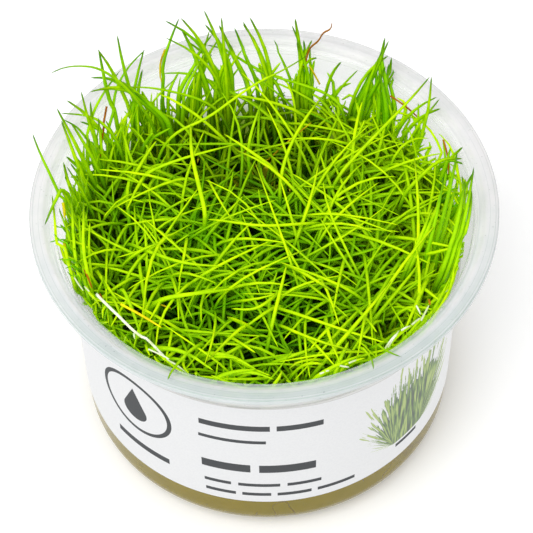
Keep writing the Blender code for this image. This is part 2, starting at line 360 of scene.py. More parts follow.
# %% Places on a piece
def object_place(finish):
    """Gives the place in the piece's own space."""
    return finish.node("TexCoord", {}).outputs["Object"]


def share_between(finish, value, low, high):
    """Gives 0 at a low value and 1 at a high one."""
    span = finish.node("MapRange", {"Value": value, "From Min": low, "From Max": high})
    return Number(finish, span.outputs["Result"])


def axis_share(finish, low, high, axis="Z"):
    """Gives 0 at a low place along an axis of the piece and 1 at a high one."""
    parts = finish.node("SeparateXYZ", {"Vector": object_place(finish)})
    return share_between(finish, parts.outputs[axis], low, high)


def distance_share(finish, low, high):
    """Gives 0 at a small distance from the cup's axis and 1 at a larger one."""
    flat = finish.node("VectorMath", {0: object_place(finish), 1: (1, 1, 0)}, operation="MULTIPLY")
    length = finish.node("VectorMath", {0: flat.outputs["Vector"]}, operation="LENGTH")
    return share_between(finish, length.outputs["Value"], low, high)


def by_distance(finish, stops):
    """Picks a tone by the distance from the cup's axis, from (millimetres, tone) stops."""
    first, last = stops[0][0], stops[-1][0]
    even = [((place - first) / (last - first), tone) for place, tone in stops]
    return finish.ramp(distance_share(finish, first * MM, last * MM), even)


def from_inside(finish):
    """Gives 1 where a turned piece is seen from the side of its axis."""
    place = finish.node("TexCoord", {}).outputs
    ends = {0: place["Object"], 1: place["Normal"]}
    outward = finish.node("VectorMath", ends, operation="DOT_PRODUCT")
    return finish.calc("LESS_THAN", outward.outputs["Value"], 0.0)


def noise_pattern(finish, scale, detail=2.0, place=None):
    """Gives a noise value in the piece's own space, or at a place that is worked out."""
    inputs = {"Vector": place or object_place(finish), "Scale": scale, "Detail": detail}
    return Number(finish, finish.node("TexNoise", inputs).outputs["Fac"])


# %% [markdown]
# The plastic is thin and clear on the wall, and milky on the thicker rim. Full refraction through
# such thin walls would cost a lot of light paths, so the finish is a coat that is partly see
# through. Ramps on the height and on the distance from the axis give its tint and how much it
# hides, and it hides more where it is seen edge on. Low down it takes the gel's olive, because the
# real wall bends the view so far that the gel seems to fill it to its outer face.

# %% Tones of the plastic
OLIVE = (0.235, 0.18, 0.012)
CLEAR = (0.46, 0.48, 0.48)
MILKY = (0.80, 0.785, 0.795)
ROOT_BROWN = (0.11, 0.055, 0.012)
# Heights as shares of the rim's: the top of the gel, the milky band, the collar and the rim.
GEL_SHARE = 0.5
BAND_LOW = 0.78
BAND_HIGH = 0.845
COLLAR_SHARE = 0.86
RIM_SHARE = 0.972
# The fourth number of a tint is how much it hides.
CLEAR_COAT = (*CLEAR, 0.16)
PLASTIC_TINTS = [
    (GEL_SHARE - 0.03, (*OLIVE, 0.8)), (GEL_SHARE, CLEAR_COAT), (BAND_LOW - 0.01, CLEAR_COAT),
    (BAND_LOW, (*MILKY, 0.7)), (BAND_HIGH, (*MILKY, 0.6)), (COLLAR_SHARE, CLEAR_COAT),
    (RIM_SHARE - 0.01, CLEAR_COAT), (RIM_SHARE, (*MILKY, 0.6)),
]
EDGE_HAZE = [(GEL_SHARE - 0.03, 0.2), (GEL_SHARE, 0.12), (COLLAR_SHARE, 0.2)]
# Seen from inside, the milky band hides less.
BAND_CLEARED = -0.8
# Share of the rim's milkiness by the distance from the axis, in millimetres.
RIM_COVER = [(44.9, 0.45), (45.8, 0.65), (46.4, 1.0)]
# Painted shade on the front of the flange, where shaded parts below show through it, by the
# distance from the axis, in millimetres.
FLANGE_FRONT_SHADE = [
    (46.2, (0.90, 0.95, 0.97)), (47.1, WHITE), (47.8, (0.83, 0.89, 0.89)),
    (48.7, (0.73, 0.82, 0.80)), (49.1, (0.76, 0.85, 0.82)), (49.6, (0.87, 0.93, 0.93)),
]
STREAKS = [(0.35, (0.93, 0.95, 0.95)), (0.6, WHITE)]
SPECKS = [(0.72, WHITE), (0.74, (0.5, 0.51, 0.51))]
# Painted dark lines along the moulded edges, where the real plastic traps and bends light, in
# millimetres: distance from the axis, depth under the rim, half the width and half the height of
# the stretch. They are weaker and greyer at the back.
PAINTED_EDGES = [
    (44.7, 1.75, 0.3, 0.4), (45.85, 0.6, 0.15, 0.6), (49.9, 0.1, 0.14, 0.11),
    (49.6, 1.62, 0.6, 0.12), (49.3, 0.0, 0.07, 0.1), (48.1, 0.0, 0.05, 0.1),
]
# Tones of the painted dark edge lines, at the front and at the back.
EDGE_LINE_SHADE = (0.42, 0.53, 0.47)
BACK_EDGE_LINE_SHADE = (0.5, 0.53, 0.53)
BACK_EDGE_SHARE = 0.45
CUP_REACH = 100 * MM


# %% Finish of the plastic
def painted_edge_lines(coat):
    """Gives 1 where dark lines are painted along the moulded edges of the rim at the front, and less at
    the back.
    """
    distance = distance_share(coat, 0, CUP_REACH)
    height = axis_share(coat, 0, CUP_REACH)
    lines = 0.0
    for row in PAINTED_EDGES:
        radius, depth, half_width, half_height = (size * MM / CUP_REACH for size in row)
        near = coat.calc("COMPARE", distance, radius, half_width)
        level = coat.calc("COMPARE", height, RIM / CUP_REACH - depth, half_height)
        lines = coat.calc("MAXIMUM", lines, near * level)
    behind = axis_share(coat, -0.3 * FLANGE, 0.5 * FLANGE, "Y")
    return lines * (behind * (BACK_EDGE_SHARE - 1) + 1.0)


def plastic_cover(coat, height, tint, lines):
    """Gives how much the plastic hides: more on the flange, on its edges and where seen edge on."""
    on_body = coat.calc("LESS_THAN", height, RIM_SHARE - 0.005)
    share = coat.calc("MAXIMUM", by_distance(coat, RIM_COVER), on_body)
    middle = (BAND_LOW + BAND_HIGH) / 2
    band = coat.calc("COMPARE", height, middle, BAND_HIGH - middle + 0.01)
    cleared = band * from_inside(coat) * BAND_CLEARED + 1.0
    facing = coat.node("LayerWeight", {"Blend": 0.5}).outputs["Facing"]
    edge = coat.calc("POWER", facing, 4.0) * coat.ramp(height, EDGE_HAZE)
    cover = edge + share * tint.node.outputs["Alpha"] * cleared
    return coat.calc("MAXIMUM", cover, lines * 0.5)


def plastic_colour(coat, height, tint, lines):
    """Gives the tint with streaks, painted shade on the front of the flange, roots in the gel, painted
    dark edge lines and specks.
    """
    colour = coat.tinted(tint, coat.ramp(noise_pattern(coat, 260.0, 4.0), STREAKS))
    behind = axis_share(coat, -0.6 * FLANGE, 0.0, "Y")
    # Painted shade: the front of the flange is darker, where shaded parts below show through it.
    flange = coat.blend(behind, by_distance(coat, FLANGE_FRONT_SHADE), WHITE)
    colour = coat.tinted(colour, flange, coat.calc("GREATER_THAN", height, RIM_SHARE))
    root = coat.calc("COMPARE", noise_pattern(coat, 110.0, 1.5), 0.5, 0.007)
    sparse = coat.calc("GREATER_THAN", noise_pattern(coat, 42.0), 0.52)
    in_gel = coat.calc("LESS_THAN", height, GEL_SHARE - 0.05)
    colour = coat.blend(root * sparse * in_gel * 0.5, colour, ROOT_BROWN)
    # Painted dark lines along the moulded edges, where the real plastic bends light.
    edge = coat.blend(behind, EDGE_LINE_SHADE, BACK_EDGE_LINE_SHADE)
    colour = coat.blend(lines * 0.7, colour, edge)
    return coat.tinted(colour, coat.ramp(noise_pattern(coat, 2300.0), SPECKS))


# %% Cup
def add_cup():
    coat = Finish("clear_plastic", CLEAR, 0.16, specular_ior_level=0.3)
    height = axis_share(coat, 0, RIM)
    tint = coat.ramp(height, PLASTIC_TINTS)
    lines = painted_edge_lines(coat)
    coat.drive(plastic_cover(coat, height, tint, lines), "Alpha")
    coat.drive(plastic_colour(coat, height, tint, lines), "Base Color")
    coat.bump(noise_pattern(coat, 900.0, 3.0), 0.08, 0.1 * MM)
    cup = finish_mesh("clear_cup", spun(cup_outline()), coat.surface)
    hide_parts("cup")
    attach(cup, "root")
    print("cup faces", len(cup.data.polygons))


add_cup()

# %% [markdown]
# The sleeve is a strip of white coated paper round the wall. It is a thin closed ring, spun from
# its four corners like the cup. A map in millimetres, round the wall from the middle of the front
# and up from the base, is laid on it, so that printed marks can be given as sizes on paper.

# %% Outline and map of the sleeve
PAPER = 0.2 * MM
PAPER_GAP = 0.05 * MM


def lay_paper_map(shape, radius):
    """Maps each corner of the sleeve by millimetres round the wall and up from the base."""
    layer = shape.loops.layers.uv.new("paper")
    for face in shape.faces:
        middle = face.calc_center_median()
        behind = math.atan2(middle.x, -middle.y)
        for loop in face.loops:
            angle = math.atan2(loop.vert.co.x, -loop.vert.co.y)
            if angle - behind > math.pi:
                angle -= math.tau
            if behind - angle > math.pi:
                angle += math.tau
            loop[layer].uv = (angle * radius / MM, loop.vert.co.z / MM)


def sleeve_outline():
    low = wall_radius(sleeve_low[2]) + PAPER_GAP
    high = wall_radius(sleeve_high[2]) + PAPER_GAP
    return [
        (low, sleeve_low[2]), (low + PAPER, sleeve_low[2]),
        (high + PAPER, sleeve_high[2]), (high, sleeve_high[2]),
    ]


# %% [markdown]
# The sleeve carries plain printed marks: a ring with a drop in it, short dark bars and a tuft of
# green strokes. Each mark is arithmetic on the paper's map in millimetres, which stays sharp at
# any distance and needs no picture. Ink is flat, so it is only colour here and no relief.

# %% Sizes of the print
INK = (0.075, 0.08, 0.085)
RING_PLACE = (-31.5, 35.6)
RING_RADIUS = 9.3
RING_LINE = 0.55
# The drop is a disc with a point on it, whose half width shrinks upwards.
DROP_PLACE = (-31.5, 33.4)
DROP_RADIUS = 3.3
DROP_HALF_WIDTH = 3.6
DROP_NARROWING = -0.42
DROP_POINT = (4.9, 3.7)
# Each bar: middle and half width across, middle and half height up, in millimetres.
BARS = [
    (-30.5, 7.4, 20.0, 1.0), (-7.4, 7.6, 42.4, 1.0), (6.6, 5.0, 42.4, 1.0), (-8.0, 7.3, 36.9, 0.6),
    (-9.6, 5.4, 26.0, 1.5), (3.9, 6.2, 26.0, 1.5), (-11.6, 3.0, 19.2, 0.6), (-2.4, 4.6, 19.2, 0.6),
    (7.6, 3.8, 19.2, 0.6), (-11.0, 3.4, 15.4, 0.6), (-3.0, 3.2, 15.4, 0.6), (5.4, 3.8, 15.4, 0.6),
    (15.0, 4.4, 15.4, 0.6), (34.0, 3.4, 17.6, 0.6),
]
TUFT_FOOT = (34.3, 19.0)
TUFT_HALF_FOOT = 4.5
TUFT_REACH = 25.0
TUFT_LEAN = 0.1
TUFT_FALL = 21.0
TUFT_INK = 0.82
# Strokes of the tuft: change over a millimetre of its foot, over its turn and over its length.
STROKE_CHANGES = (1.2, 22.0, 0.12)
STROKE_GREENS = [(0.42, (0.01, 0.045, 0.006)), (0.5, (0.12, 0.26, 0.02)), (0.6, (0.48, 0.62, 0.13))]
# The white print ends in a shallow curve under the sleeve's edge: millimetres on the paper's map.
MARGIN_START = 50.25
MARGIN_CURVE = 0.0014
MARGIN_SLOPE = 0.0144
MARGIN_DEPTH = 2.2
MARGIN_LINE = 0.13
MARGIN_TONE = (0.88, 0.87, 0.85)
MARGIN_LINE_TONE = (0.80, 0.80, 0.78)


# %% Printed marks
def paper_axes(paper):
    """Gives the millimetres across and up on the paper's map."""
    layout = paper.node("UVMap", {}, uv_map="paper")
    split = paper.node("SeparateXYZ", {"Vector": layout.outputs["UV"]})
    return Number(paper, split.outputs["X"]), Number(paper, split.outputs["Y"])


def from_point(axes, point):
    """Gives the steps across and up from a point on the paper."""
    return axes[0] - point[0], axes[1] - point[1]


def length_of(paper, across, up):
    """Gives the length of a step across and up."""
    return paper.calc("SQRT", across * across + up * up)


def ink_marks(paper, axes):
    """Gives 1 where the paper is inked."""
    ink = 0.0
    for across, half_width, up, half_height in BARS:
        beside = paper.calc("COMPARE", axes[0], across, half_width)
        level = paper.calc("COMPARE", axes[1], up, half_height)
        ink = paper.calc("MAXIMUM", ink, beside * level)
    ring = length_of(paper, *from_point(axes, RING_PLACE))
    ink = paper.calc("MAXIMUM", ink, paper.calc("COMPARE", ring, RING_RADIUS, RING_LINE))
    across, up = from_point(axes, DROP_PLACE)
    disc = paper.calc("LESS_THAN", length_of(paper, across, up), DROP_RADIUS)
    half_width = up * DROP_NARROWING + DROP_HALF_WIDTH
    point = paper.calc("LESS_THAN", paper.calc("ABSOLUTE", across), half_width)
    point = point * paper.calc("COMPARE", up, *DROP_POINT)
    return paper.calc("MAXIMUM", ink, paper.calc("MAXIMUM", disc, point))


def clear_margin(paper, axes):
    """Gives 1 above the curved edge of the white print, and 1 on the thin line along that edge."""
    across, up = axes
    fall = across * across * MARGIN_CURVE + across * MARGIN_SLOPE
    above = up + paper.calc("MINIMUM", fall, MARGIN_DEPTH) - MARGIN_START
    return paper.calc("GREATER_THAN", above, 0.0), paper.calc("COMPARE", above, 0.0, MARGIN_LINE)


def green_tuft(paper, axes):
    """Gives how strongly the printed tuft covers the paper, and its colour."""
    across, up = from_point(axes, TUFT_FOOT)
    start = paper.calc("MAXIMUM", across, -TUFT_HALF_FOOT)
    start = paper.calc("MINIMUM", start, TUFT_HALF_FOOT)
    beside = across - start
    turn = paper.calc("ARCTAN2", beside, up)
    reach = length_of(paper, beside, up)
    on_foot, on_turn, on_length = STROKE_CHANGES
    drawn = {"X": start * on_foot + turn * on_turn, "Y": reach * on_length}
    place = paper.node("CombineXYZ", drawn).outputs["Vector"]
    strokes = noise_pattern(paper, 1.0, 4.0, place)
    off_middle = paper.calc("ABSOLUTE", turn - TUFT_LEAN)
    length = strokes * (TUFT_REACH * 2.0) - off_middle * TUFT_FALL
    cover = paper.calc("LESS_THAN", reach, length) * paper.calc("GREATER_THAN", up, -0.5)
    return cover * TUFT_INK, paper.ramp(strokes, STROKE_GREENS)


# %% [markdown]
# Paper turns back part of the light and passes part of it, and a glow stands for what it passes.
# Inside the cup it glows more, and it gets painted green bounce light from the plants and the gel
# and painted shade, both deeper towards the gel.

# %% Sleeve with its print
PAPER_WHITE = (0.34, 0.345, 0.35)
PAPER_GLOW = 0.42
INNER_GLOW = 0.5
INNER_REACH = (34 * MM, 50 * MM)
# Painted green bounce light and shade on the inner side, from dark at the low height to white.
INNER_BOUNCE_AND_SHADE = [(0.0, (0.07, 0.12, 0.002)), (0.55, (0.25, 0.40, 0.03)), (1.0, WHITE)]
FIBRES = [(0.35, (0.965, 0.965, 0.97)), (0.6, WHITE)]


def add_sleeve():
    paper = Finish("white_paper", PAPER_WHITE, 0.6, specular_ior_level=0.2)
    axes = paper_axes(paper)
    fibres = noise_pattern(paper, 2200.0, 3.0)
    cover, greens = green_tuft(paper, axes)
    colour = paper.blend(cover, paper.ramp(fibres, FIBRES), greens)
    colour = paper.blend(ink_marks(paper, axes), colour, INK)
    margin, margin_line = clear_margin(paper, axes)
    colour = paper.tinted(colour, MARGIN_TONE, margin)
    colour = paper.tinted(colour, MARGIN_LINE_TONE, margin_line)
    inner = from_inside(paper)
    # Painted green bounce light and shade on the inner side of the paper.
    bounced_and_shaded = paper.ramp(axis_share(paper, *INNER_REACH), INNER_BOUNCE_AND_SHADE)
    colour = paper.tinted(colour, bounced_and_shaded, inner)
    paper.drive(paper.tinted(colour, PAPER_WHITE), "Base Color")
    paper.drive(colour, "Emission Color")
    paper.drive(inner * INNER_GLOW + PAPER_GLOW, "Emission Strength")
    paper.bump(fibres, 0.05, 0.05 * MM)
    shape = spun(sleeve_outline())
    lay_paper_map(shape, wall_radius((sleeve_low[2] + sleeve_high[2]) / 2) + PAPER)
    sleeve = finish_mesh("printed_sleeve", shape, paper.surface)
    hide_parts("paper_sleeve")
    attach(sleeve, "root")
    print("sleeve faces", len(sleeve.data.polygons), "and printed bars", len(BARS))


add_sleeve()

# %% [markdown]
# The growth gel fills the foot of the cup. It set from a liquid, so its side follows the cup, and
# its top is lumpy where roots and plantlets pushed it up. It is spun, and its top is then moved by
# a smooth noise.

# %% Gel
GEL_GAP = 0.3 * MM
GEL_TOP = gel_high[2] - 1.5 * MM
GEL_RINGS = 40
LUMP_SIZE = 3.2 * MM
LUMP_HEIGHT = 1.1 * MM
LUMP_RISE = 0.2
# Painted light: the gel glows in its own colours, so that it shows where little light reaches it.
PAINTED_GEL_LIGHT = 0.5
# Tones of the gel's body, of its top between the plantlets, and of the roots in it.
CLOUD = [(0.3, (0.12, 0.085, 0.012)), (0.5, OLIVE), (0.7, (0.33, 0.27, 0.05))]
LUMPS = [(0.45, (0.10, 0.12, 0.002)), (0.6, (0.22, 0.24, 0.004)), (0.68, (0.62, 0.58, 0.03))]
ROOT_LINE = (0.05, 0.022, 0.006)


def gel_outline():
    corner = (wall_radius(CORNER) - CORNER, CORNER)
    side = wall_radius(gel_high[2]) - WALL - GEL_GAP
    top = [(side * (1 - step / GEL_RINGS), GEL_TOP) for step in range(1, GEL_RINGS + 1)]
    edge = [(side, gel_high[2]), (side - 0.6 * MM, gel_high[2] - 0.8 * MM)]
    return [(0, WALL + GEL_GAP)] + arc(corner, CORNER - WALL - GEL_GAP, -90, 0, 12) + edge + top


def gel_finish():
    look = Finish("growth_gel", OLIVE, 0.22, specular_ior_level=0.15)
    cloud = look.ramp(noise_pattern(look, 160.0, 3.0), CLOUD)
    lumps = look.ramp(noise_pattern(look, 330.0), LUMPS)
    colour = look.blend(axis_share(look, GEL_TOP - 2 * MM, GEL_TOP), cloud, lumps)
    root = look.calc("COMPARE", noise_pattern(look, 95.0, 1.5), 0.5, 0.006)
    look.drive(look.blend(root, colour, ROOT_LINE), "Base Color", "Emission Color")
    # Painted light: a glow in the gel's own colours.
    look.drive(PAINTED_GEL_LIGHT, "Emission Strength")
    look.bump(noise_pattern(look, 500.0, 3.0), 0.3, 0.3 * MM)
    return look.surface


def add_gel():
    shape = spun(gel_outline(), 120)
    for vert in shape.verts:
        if vert.co.z > GEL_TOP - 0.01 * MM:
            vert.co.z += LUMP_HEIGHT * (noise.noise(vert.co / LUMP_SIZE) + LUMP_RISE)
    gel = finish_mesh("root_gel", shape, gel_finish())
    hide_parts("growth_gel")
    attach(gel, "root")
    print("gel top", round(GEL_TOP / MM, 1), "mm above the base")


add_gel()

# %% [markdown]
# A blade of hairgrass is a round green thread that narrows to a point, less than a millimetre
# thick. Thousands of them are needed, so one straight blade is modelled with operators: a circle,
# drawn out ring by ring over a length of one and closed at its point.

# %% One straight blade
BLADE_SIDES = 4
POINT_SHARE = 0.025


def straight_blade(shares):
    """Models a tube of radius one and length one, with a ring at each share, closed in a point."""
    shape = bmesh.new()
    bmesh.ops.create_circle(shape, cap_ends=True, segments=BLADE_SIDES, radius=1.0)
    bmesh.ops.reverse_faces(shape, faces=shape.faces)
    front = list(shape.edges)
    for low, high in zip(shares, shares[1:]):
        drawn = bmesh.ops.extrude_edge_only(shape, edges=front)["geom"]
        moved = [part for part in drawn if isinstance(part, bmesh.types.BMVert)]
        bmesh.ops.translate(shape, verts=moved, vec=(0, 0, high - low))
        front = [part for part in drawn if isinstance(part, bmesh.types.BMEdge)]
        front = [edge for edge in front if all(vert in moved for vert in edge.verts)]
    bmesh.ops.pointmerge(shape, verts=moved, merge_co=(0, 0, 1))
    bmesh.ops.recalc_face_normals(shape, faces=shape.faces)
    mesh = bpy.data.meshes.new("straight_blade")
    shape.to_mesh(mesh)
    shape.free()
    return mesh


class Blade:
    """One straight blade with the shares of its rings, ready to be copied and bent."""

    def __init__(self, rings):
        self.shares = np.array([*np.linspace(0, 1 - POINT_SHARE, rings), 1.0])
        self.mesh = straight_blade(self.shares)
        self.verts = np.array([vert.co for vert in self.mesh.vertices])
        self.levels = np.abs(self.verts[:, 2, None] - self.shares).argmin(axis=1)


short_blade = Blade(11)
long_blade = Blade(36)
print("one blade has", len(short_blade.mesh.polygons), "or", len(long_blade.mesh.polygons), "faces")

# %% [markdown]
# Each real blade grows up from the gel, leans and arches over. A curve with four guide points
# describes that: the root, a point straight above it, a point near the top of the arch, and the
# tip. All the copies of the straight blade are bent along their own curves at once with arrays,
# which takes a second where single objects would take minutes. Where a blade would pass through
# the cup it is pushed back inside, as a real one is pressed against the wall.

# %% Bend many blades
TIP_NARROWING = 0.7
TIP_SHARPNESS = 6
WALL_FIRMNESS = 30
BLADE_ROOM = 0.55 * MM
MOUTH_OPENING = 0.5 * MM


def free_radius(height):
    """How far from the axis a blade may be at a height: the wall below, open above the rim."""
    ledge_low = RIM - COLLAR_DEPTH - LEDGE
    heights = [0, ledge_low, RIM - COLLAR_DEPTH, RIM, RIM + MOUTH_OPENING, RIM + 2 * MOUTH_OPENING]
    inner_collar = COLLAR - WALL
    low = wall_radius(0) - WALL
    high = wall_radius(ledge_low) - WALL
    radii = [low, high, inner_collar, inner_collar, inner_collar, FLANGE + 1.0 * MM]
    return np.interp(height, heights, radii) - BLADE_ROOM


def kept_inside(lines):
    """Presses lines softly back inside the cup where they would pass through it."""
    crowding = np.hypot(lines[..., 0], lines[..., 1]) / free_radius(lines[..., 2])
    lines[..., :2] *= ((1 + crowding**WALL_FIRMNESS) ** (-1 / WALL_FIRMNESS))[..., None]
    return lines


def arched_lines(guides, blade):
    """Points of each curve at the blade's rings, kept inside the cup."""
    share = blade.shares[None, :, None]
    root, rise, top, tip = (guides[:, index, None, :] for index in range(4))
    rest = 1 - share
    lines = rest**3 * root + 3 * rest**2 * share * rise + 3 * rest * share**2 * top + share**3 * tip
    return kept_inside(lines)


def bent_blades(blade, lines, widths):
    """Places of all the vertices of all the blades, bent along their lines."""
    ahead = np.gradient(lines, axis=1)
    ahead /= np.linalg.norm(ahead, axis=2, keepdims=True)
    across = np.cross(lines[:, -1] - lines[:, 0], (0.3, 0.2, 1.0))[:, None, :]
    across = across - ahead * np.sum(across * ahead, axis=2, keepdims=True)
    across /= np.linalg.norm(across, axis=2, keepdims=True)
    along = np.cross(ahead, across)
    taper = (1 - TIP_NARROWING * blade.verts[:, 2] ** TIP_SHARPNESS) * 0.5
    reach = widths[:, None] * taper[None, :]
    side = (reach * blade.verts[None, :, 0])[..., None] * across[:, blade.levels]
    other = (reach * blade.verts[None, :, 1])[..., None] * along[:, blade.levels]
    return lines[:, blade.levels] + side + other


def blades_piece(name, blade, lines, widths, tints, surface):
    """Joins one copy of the straight blade for each line and bends them all."""
    shape = bmesh.new()
    for _ in range(len(lines)):
        shape.from_mesh(blade.mesh)
    piece = finish_mesh(name, shape, surface, 180.0)
    mesh = piece.data
    mesh.vertices.foreach_set("co", bent_blades(blade, lines, widths).astype(np.float32).ravel())
    tint = mesh.attributes.new("tint", "FLOAT", "POINT")
    tint.data.foreach_set("value", np.repeat(tints, len(blade.verts)).astype(np.float32))
    share = mesh.attributes.new("share", "FLOAT", "POINT")
    share.data.foreach_set("value", np.tile(blade.verts[:, 2], len(lines)).astype(np.float32))
    mesh.update()
    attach(piece, "root")
    print(name, len(lines), "blades,", len(mesh.polygons), "faces")
    return piece


# %% [markdown]
# Fresh blades are a bright yellow green where light reaches them, and deeper green at the tip. The
# share of the length picks a colour from a ramp, which also paints shade on the foot of each blade,
# down among the others, and each blade's own tint moves it towards a deeper green, so that
# neighbours can be told apart. A second ramp on the height above the gel paints shade on the foot of
# the turf, where little light reaches. It counts less where light falls in, which is painted light
# too: at the open back, along the wall and on the right.

# %% Tones of the blades
LIME = (0.65, 0.92, 0.001)
MID_GREEN = (0.21, 0.60, 0.001)
DEEP_GREEN = (0.015, 0.10, 0.001)
TIP_GREEN = (0.05, 0.19, 0.002)
# Colour by the share of a blade's length, for the brightest and the deepest tint. The dark green
# at the foot is painted shade down among the other blades.
BRIGHT_BLADE = [(0.0, DEEP_GREEN), (0.22, MID_GREEN), (0.5, LIME)]
DEEP_BLADE = [(0.0, DEEP_GREEN), (0.35, TIP_GREEN), (0.6, MID_GREEN)]
# Tips that stand out over the rim, lit from behind, get painted shade: a deeper green.
TIP_HEIGHTS = (62 * MM, 67 * MM)
TIP_STOPS = [(0.84, 0.0), (0.98, 0.85)]
# Shade by height: the foot of the turf is dark, and its top is in full light.
SHADE_HEIGHTS = (40 * MM, 61.5 * MM)
SHADES = [
    (0.0, (0.003, 0.012, 0.002)), (0.45, (0.016, 0.07, 0.008)), (0.75, (0.33, 0.57, 0.2)), (1.0, WHITE),
]
# Towards the back the turf is open, and light falls in down to the gel.
OPEN_REACH = (8 * MM, 30 * MM)
OPEN_LIGHT = 0.7
# Clear plastic and white paper pass and turn back light all round the wall, more so on the right.
WALL_REACH = (28 * MM, 43 * MM)
WALL_LIGHT = 0.4
RIGHT_REACH = (8 * MM, 43 * MM)
RIGHT_LIGHT = 0.42
# Painted light: the blades glow a little, more so higher up, for light that passes through them.
PAINTED_LEAF_GLOW = 0.08
PATCHES = [(0.3, (0.7, 0.82, 0.7)), (0.62, WHITE)]
# The sides of a blade get less light than its top.
SIDE_TONES = [(0.0, (0.78, 0.88, 0.65)), (0.6, WHITE)]


# %% Finish of the blades
def named_value(look, name):
    """Gives a number that is stored at each point of a piece."""
    return Number(look, look.node("Attribute", {}, attribute_name=name).outputs["Fac"])


def facing_up(look):
    """Gives 1 where a surface faces straight up and 0 or less where it faces sideways or down."""
    normal = look.node("TexCoord", {}).outputs["Normal"]
    return look.node("SeparateXYZ", {"Vector": normal}).outputs["Z"]


def light_between(look):
    """Gives how much of the shade is lit from the open back, the wall and the right."""
    back = axis_share(look, *OPEN_REACH, "Y") * OPEN_LIGHT
    wall = distance_share(look, *WALL_REACH) * WALL_LIGHT
    right = axis_share(look, *RIGHT_REACH, "X") * RIGHT_LIGHT
    return look.calc("MAXIMUM", back, wall + right)


def leaf_finish():
    look = Finish("fresh_leaf", LIME, 0.5, specular_ior_level=0.05)
    share = named_value(look, "share")
    # Painted shade: these ramps darken the foot of each blade.
    bright, deep = look.ramp(share, BRIGHT_BLADE), look.ramp(share, DEEP_BLADE)
    colour = look.blend(named_value(look, "tint"), bright, deep)
    # Painted shade on tips over the rim, lit from behind.
    tip = axis_share(look, *TIP_HEIGHTS) * look.ramp(share, TIP_STOPS)
    colour = look.blend(tip, colour, TIP_GREEN)
    height = axis_share(look, *SHADE_HEIGHTS)
    light = look.blend(light_between(look), look.ramp(height, SHADES), WHITE)
    patches = look.ramp(noise_pattern(look, 420.0), PATCHES)
    sides = look.ramp(facing_up(look), SIDE_TONES)
    for tone in (light, patches, sides):
        colour = look.tinted(colour, tone)
    look.drive(colour, "Base Color", "Emission Color")
    # Painted light: the glow grows with the height above the gel.
    look.drive(height * PAINTED_LEAF_GLOW, "Emission Strength")
    look.bump(noise_pattern(look, 2500.0), 0.15, 0.05 * MM)
    return look.surface


leaf = leaf_finish()
print("nodes in the finish of the blades", len(leaf.node_tree.nodes))

# %% [markdown]
# The turf is a crowd of plantlets. Each has a handful of blades from one spot on the gel. In the
# middle they climb, bend over sharply and lie across one another in long arcs. The spots are a
# grid with a random shift. Towards the back a hollow is left nearly bare, where the gel shows.

# %% Spots of the plantlets
SEED = 31
PLANT_SPACING = 3.1 * MM
PLANT_REACH = 40.3 * MM
HOLLOW_PLACE = np.array([-2.0, 30.0]) * MM
HOLLOW_SIZE = np.array([20.0, 8.5]) * MM
HOLLOW_LEFT = 0.12
CLEARING_PLACE = np.array([-2.0, 25.0]) * MM
CLEARING_SIZE = np.array([21.0, 15.0]) * MM
CLEARING_LEFT = 0.2
GAP_SIZE = 7 * MM
GAP_LEVEL = -0.12
chance = np.random.default_rng(SEED)


def plant_spots():
    """Spots of the plantlets on the gel, in staggered rows with a random shift."""
    row = PLANT_SPACING * math.sqrt(3) / 2
    steps = np.arange(-20, 21)
    x, y = np.meshgrid(steps * PLANT_SPACING, steps * row)
    x = x + (steps % 2)[:, None] * PLANT_SPACING / 2
    shifts = chance.uniform(-0.45, 0.45, (x.size, 2)) * PLANT_SPACING
    spots = np.stack([x.ravel(), y.ravel()], 1) + shifts
    spots = spots[np.hypot(spots[:, 0], spots[:, 1]) < PLANT_REACH]
    hollow = np.linalg.norm((spots - HOLLOW_PLACE) / HOLLOW_SIZE, axis=1) < 1
    return spots[~hollow | (chance.uniform(0, 1, len(spots)) < HOLLOW_LEFT)]


spots = plant_spots()
print(len(spots), "plantlets")

# %% [markdown]
# Five kinds of blade make the depth of the turf. Two stand all over it: short dark ones fill its
# foot, and arching ones make the woven top. The other three stand along the wall and follow in the
# next step. Each kind gets its own reach, height and bend, drawn at random between limits that
# were judged from the photograph.

# %% Kinds of blade
BLADE_WIDTH = 0.8 * MM
ROOT_SPREAD = 0.9 * MM
TIP_LIMIT = 43.5 * MM
# Limits in millimetres. Where there are three, they are the lowest, the usual and the highest.
SHORT_CLIMB = (6, 18)
SHORT_REACH = (1, 9)
ARCH_CROWN = (43, 57, 63.5)
ARCH_REACH = (10, 24, 46)
# Towards the back the crown falls by this much, all of it at this distance from the middle.
CROWN_FALL = 3.0
CROWN_FALL_AT = 30
UP = np.array([0, 0, 1.0])


def columns(*values):
    return np.stack(np.broadcast_arrays(*values), axis=-1)


def roots_on(spots, each):
    """Roots of blades on the gel round the spot of each plantlet."""
    places = np.repeat(spots, each, axis=0)
    shifted = places + chance.normal(0, 0.5, places.shape) * ROOT_SPREAD
    return columns(shifted[:, 0], shifted[:, 1], GEL_TOP)


def leans(count):
    """Level directions all round."""
    turn = chance.uniform(0, math.tau, count)
    return columns(np.cos(turn), np.sin(turn), 0.0)


def looks(count, widths, tints):
    """Widths and tints of blades, each drawn between two limits."""
    return chance.uniform(*widths, count) * BLADE_WIDTH, chance.uniform(*tints, count)


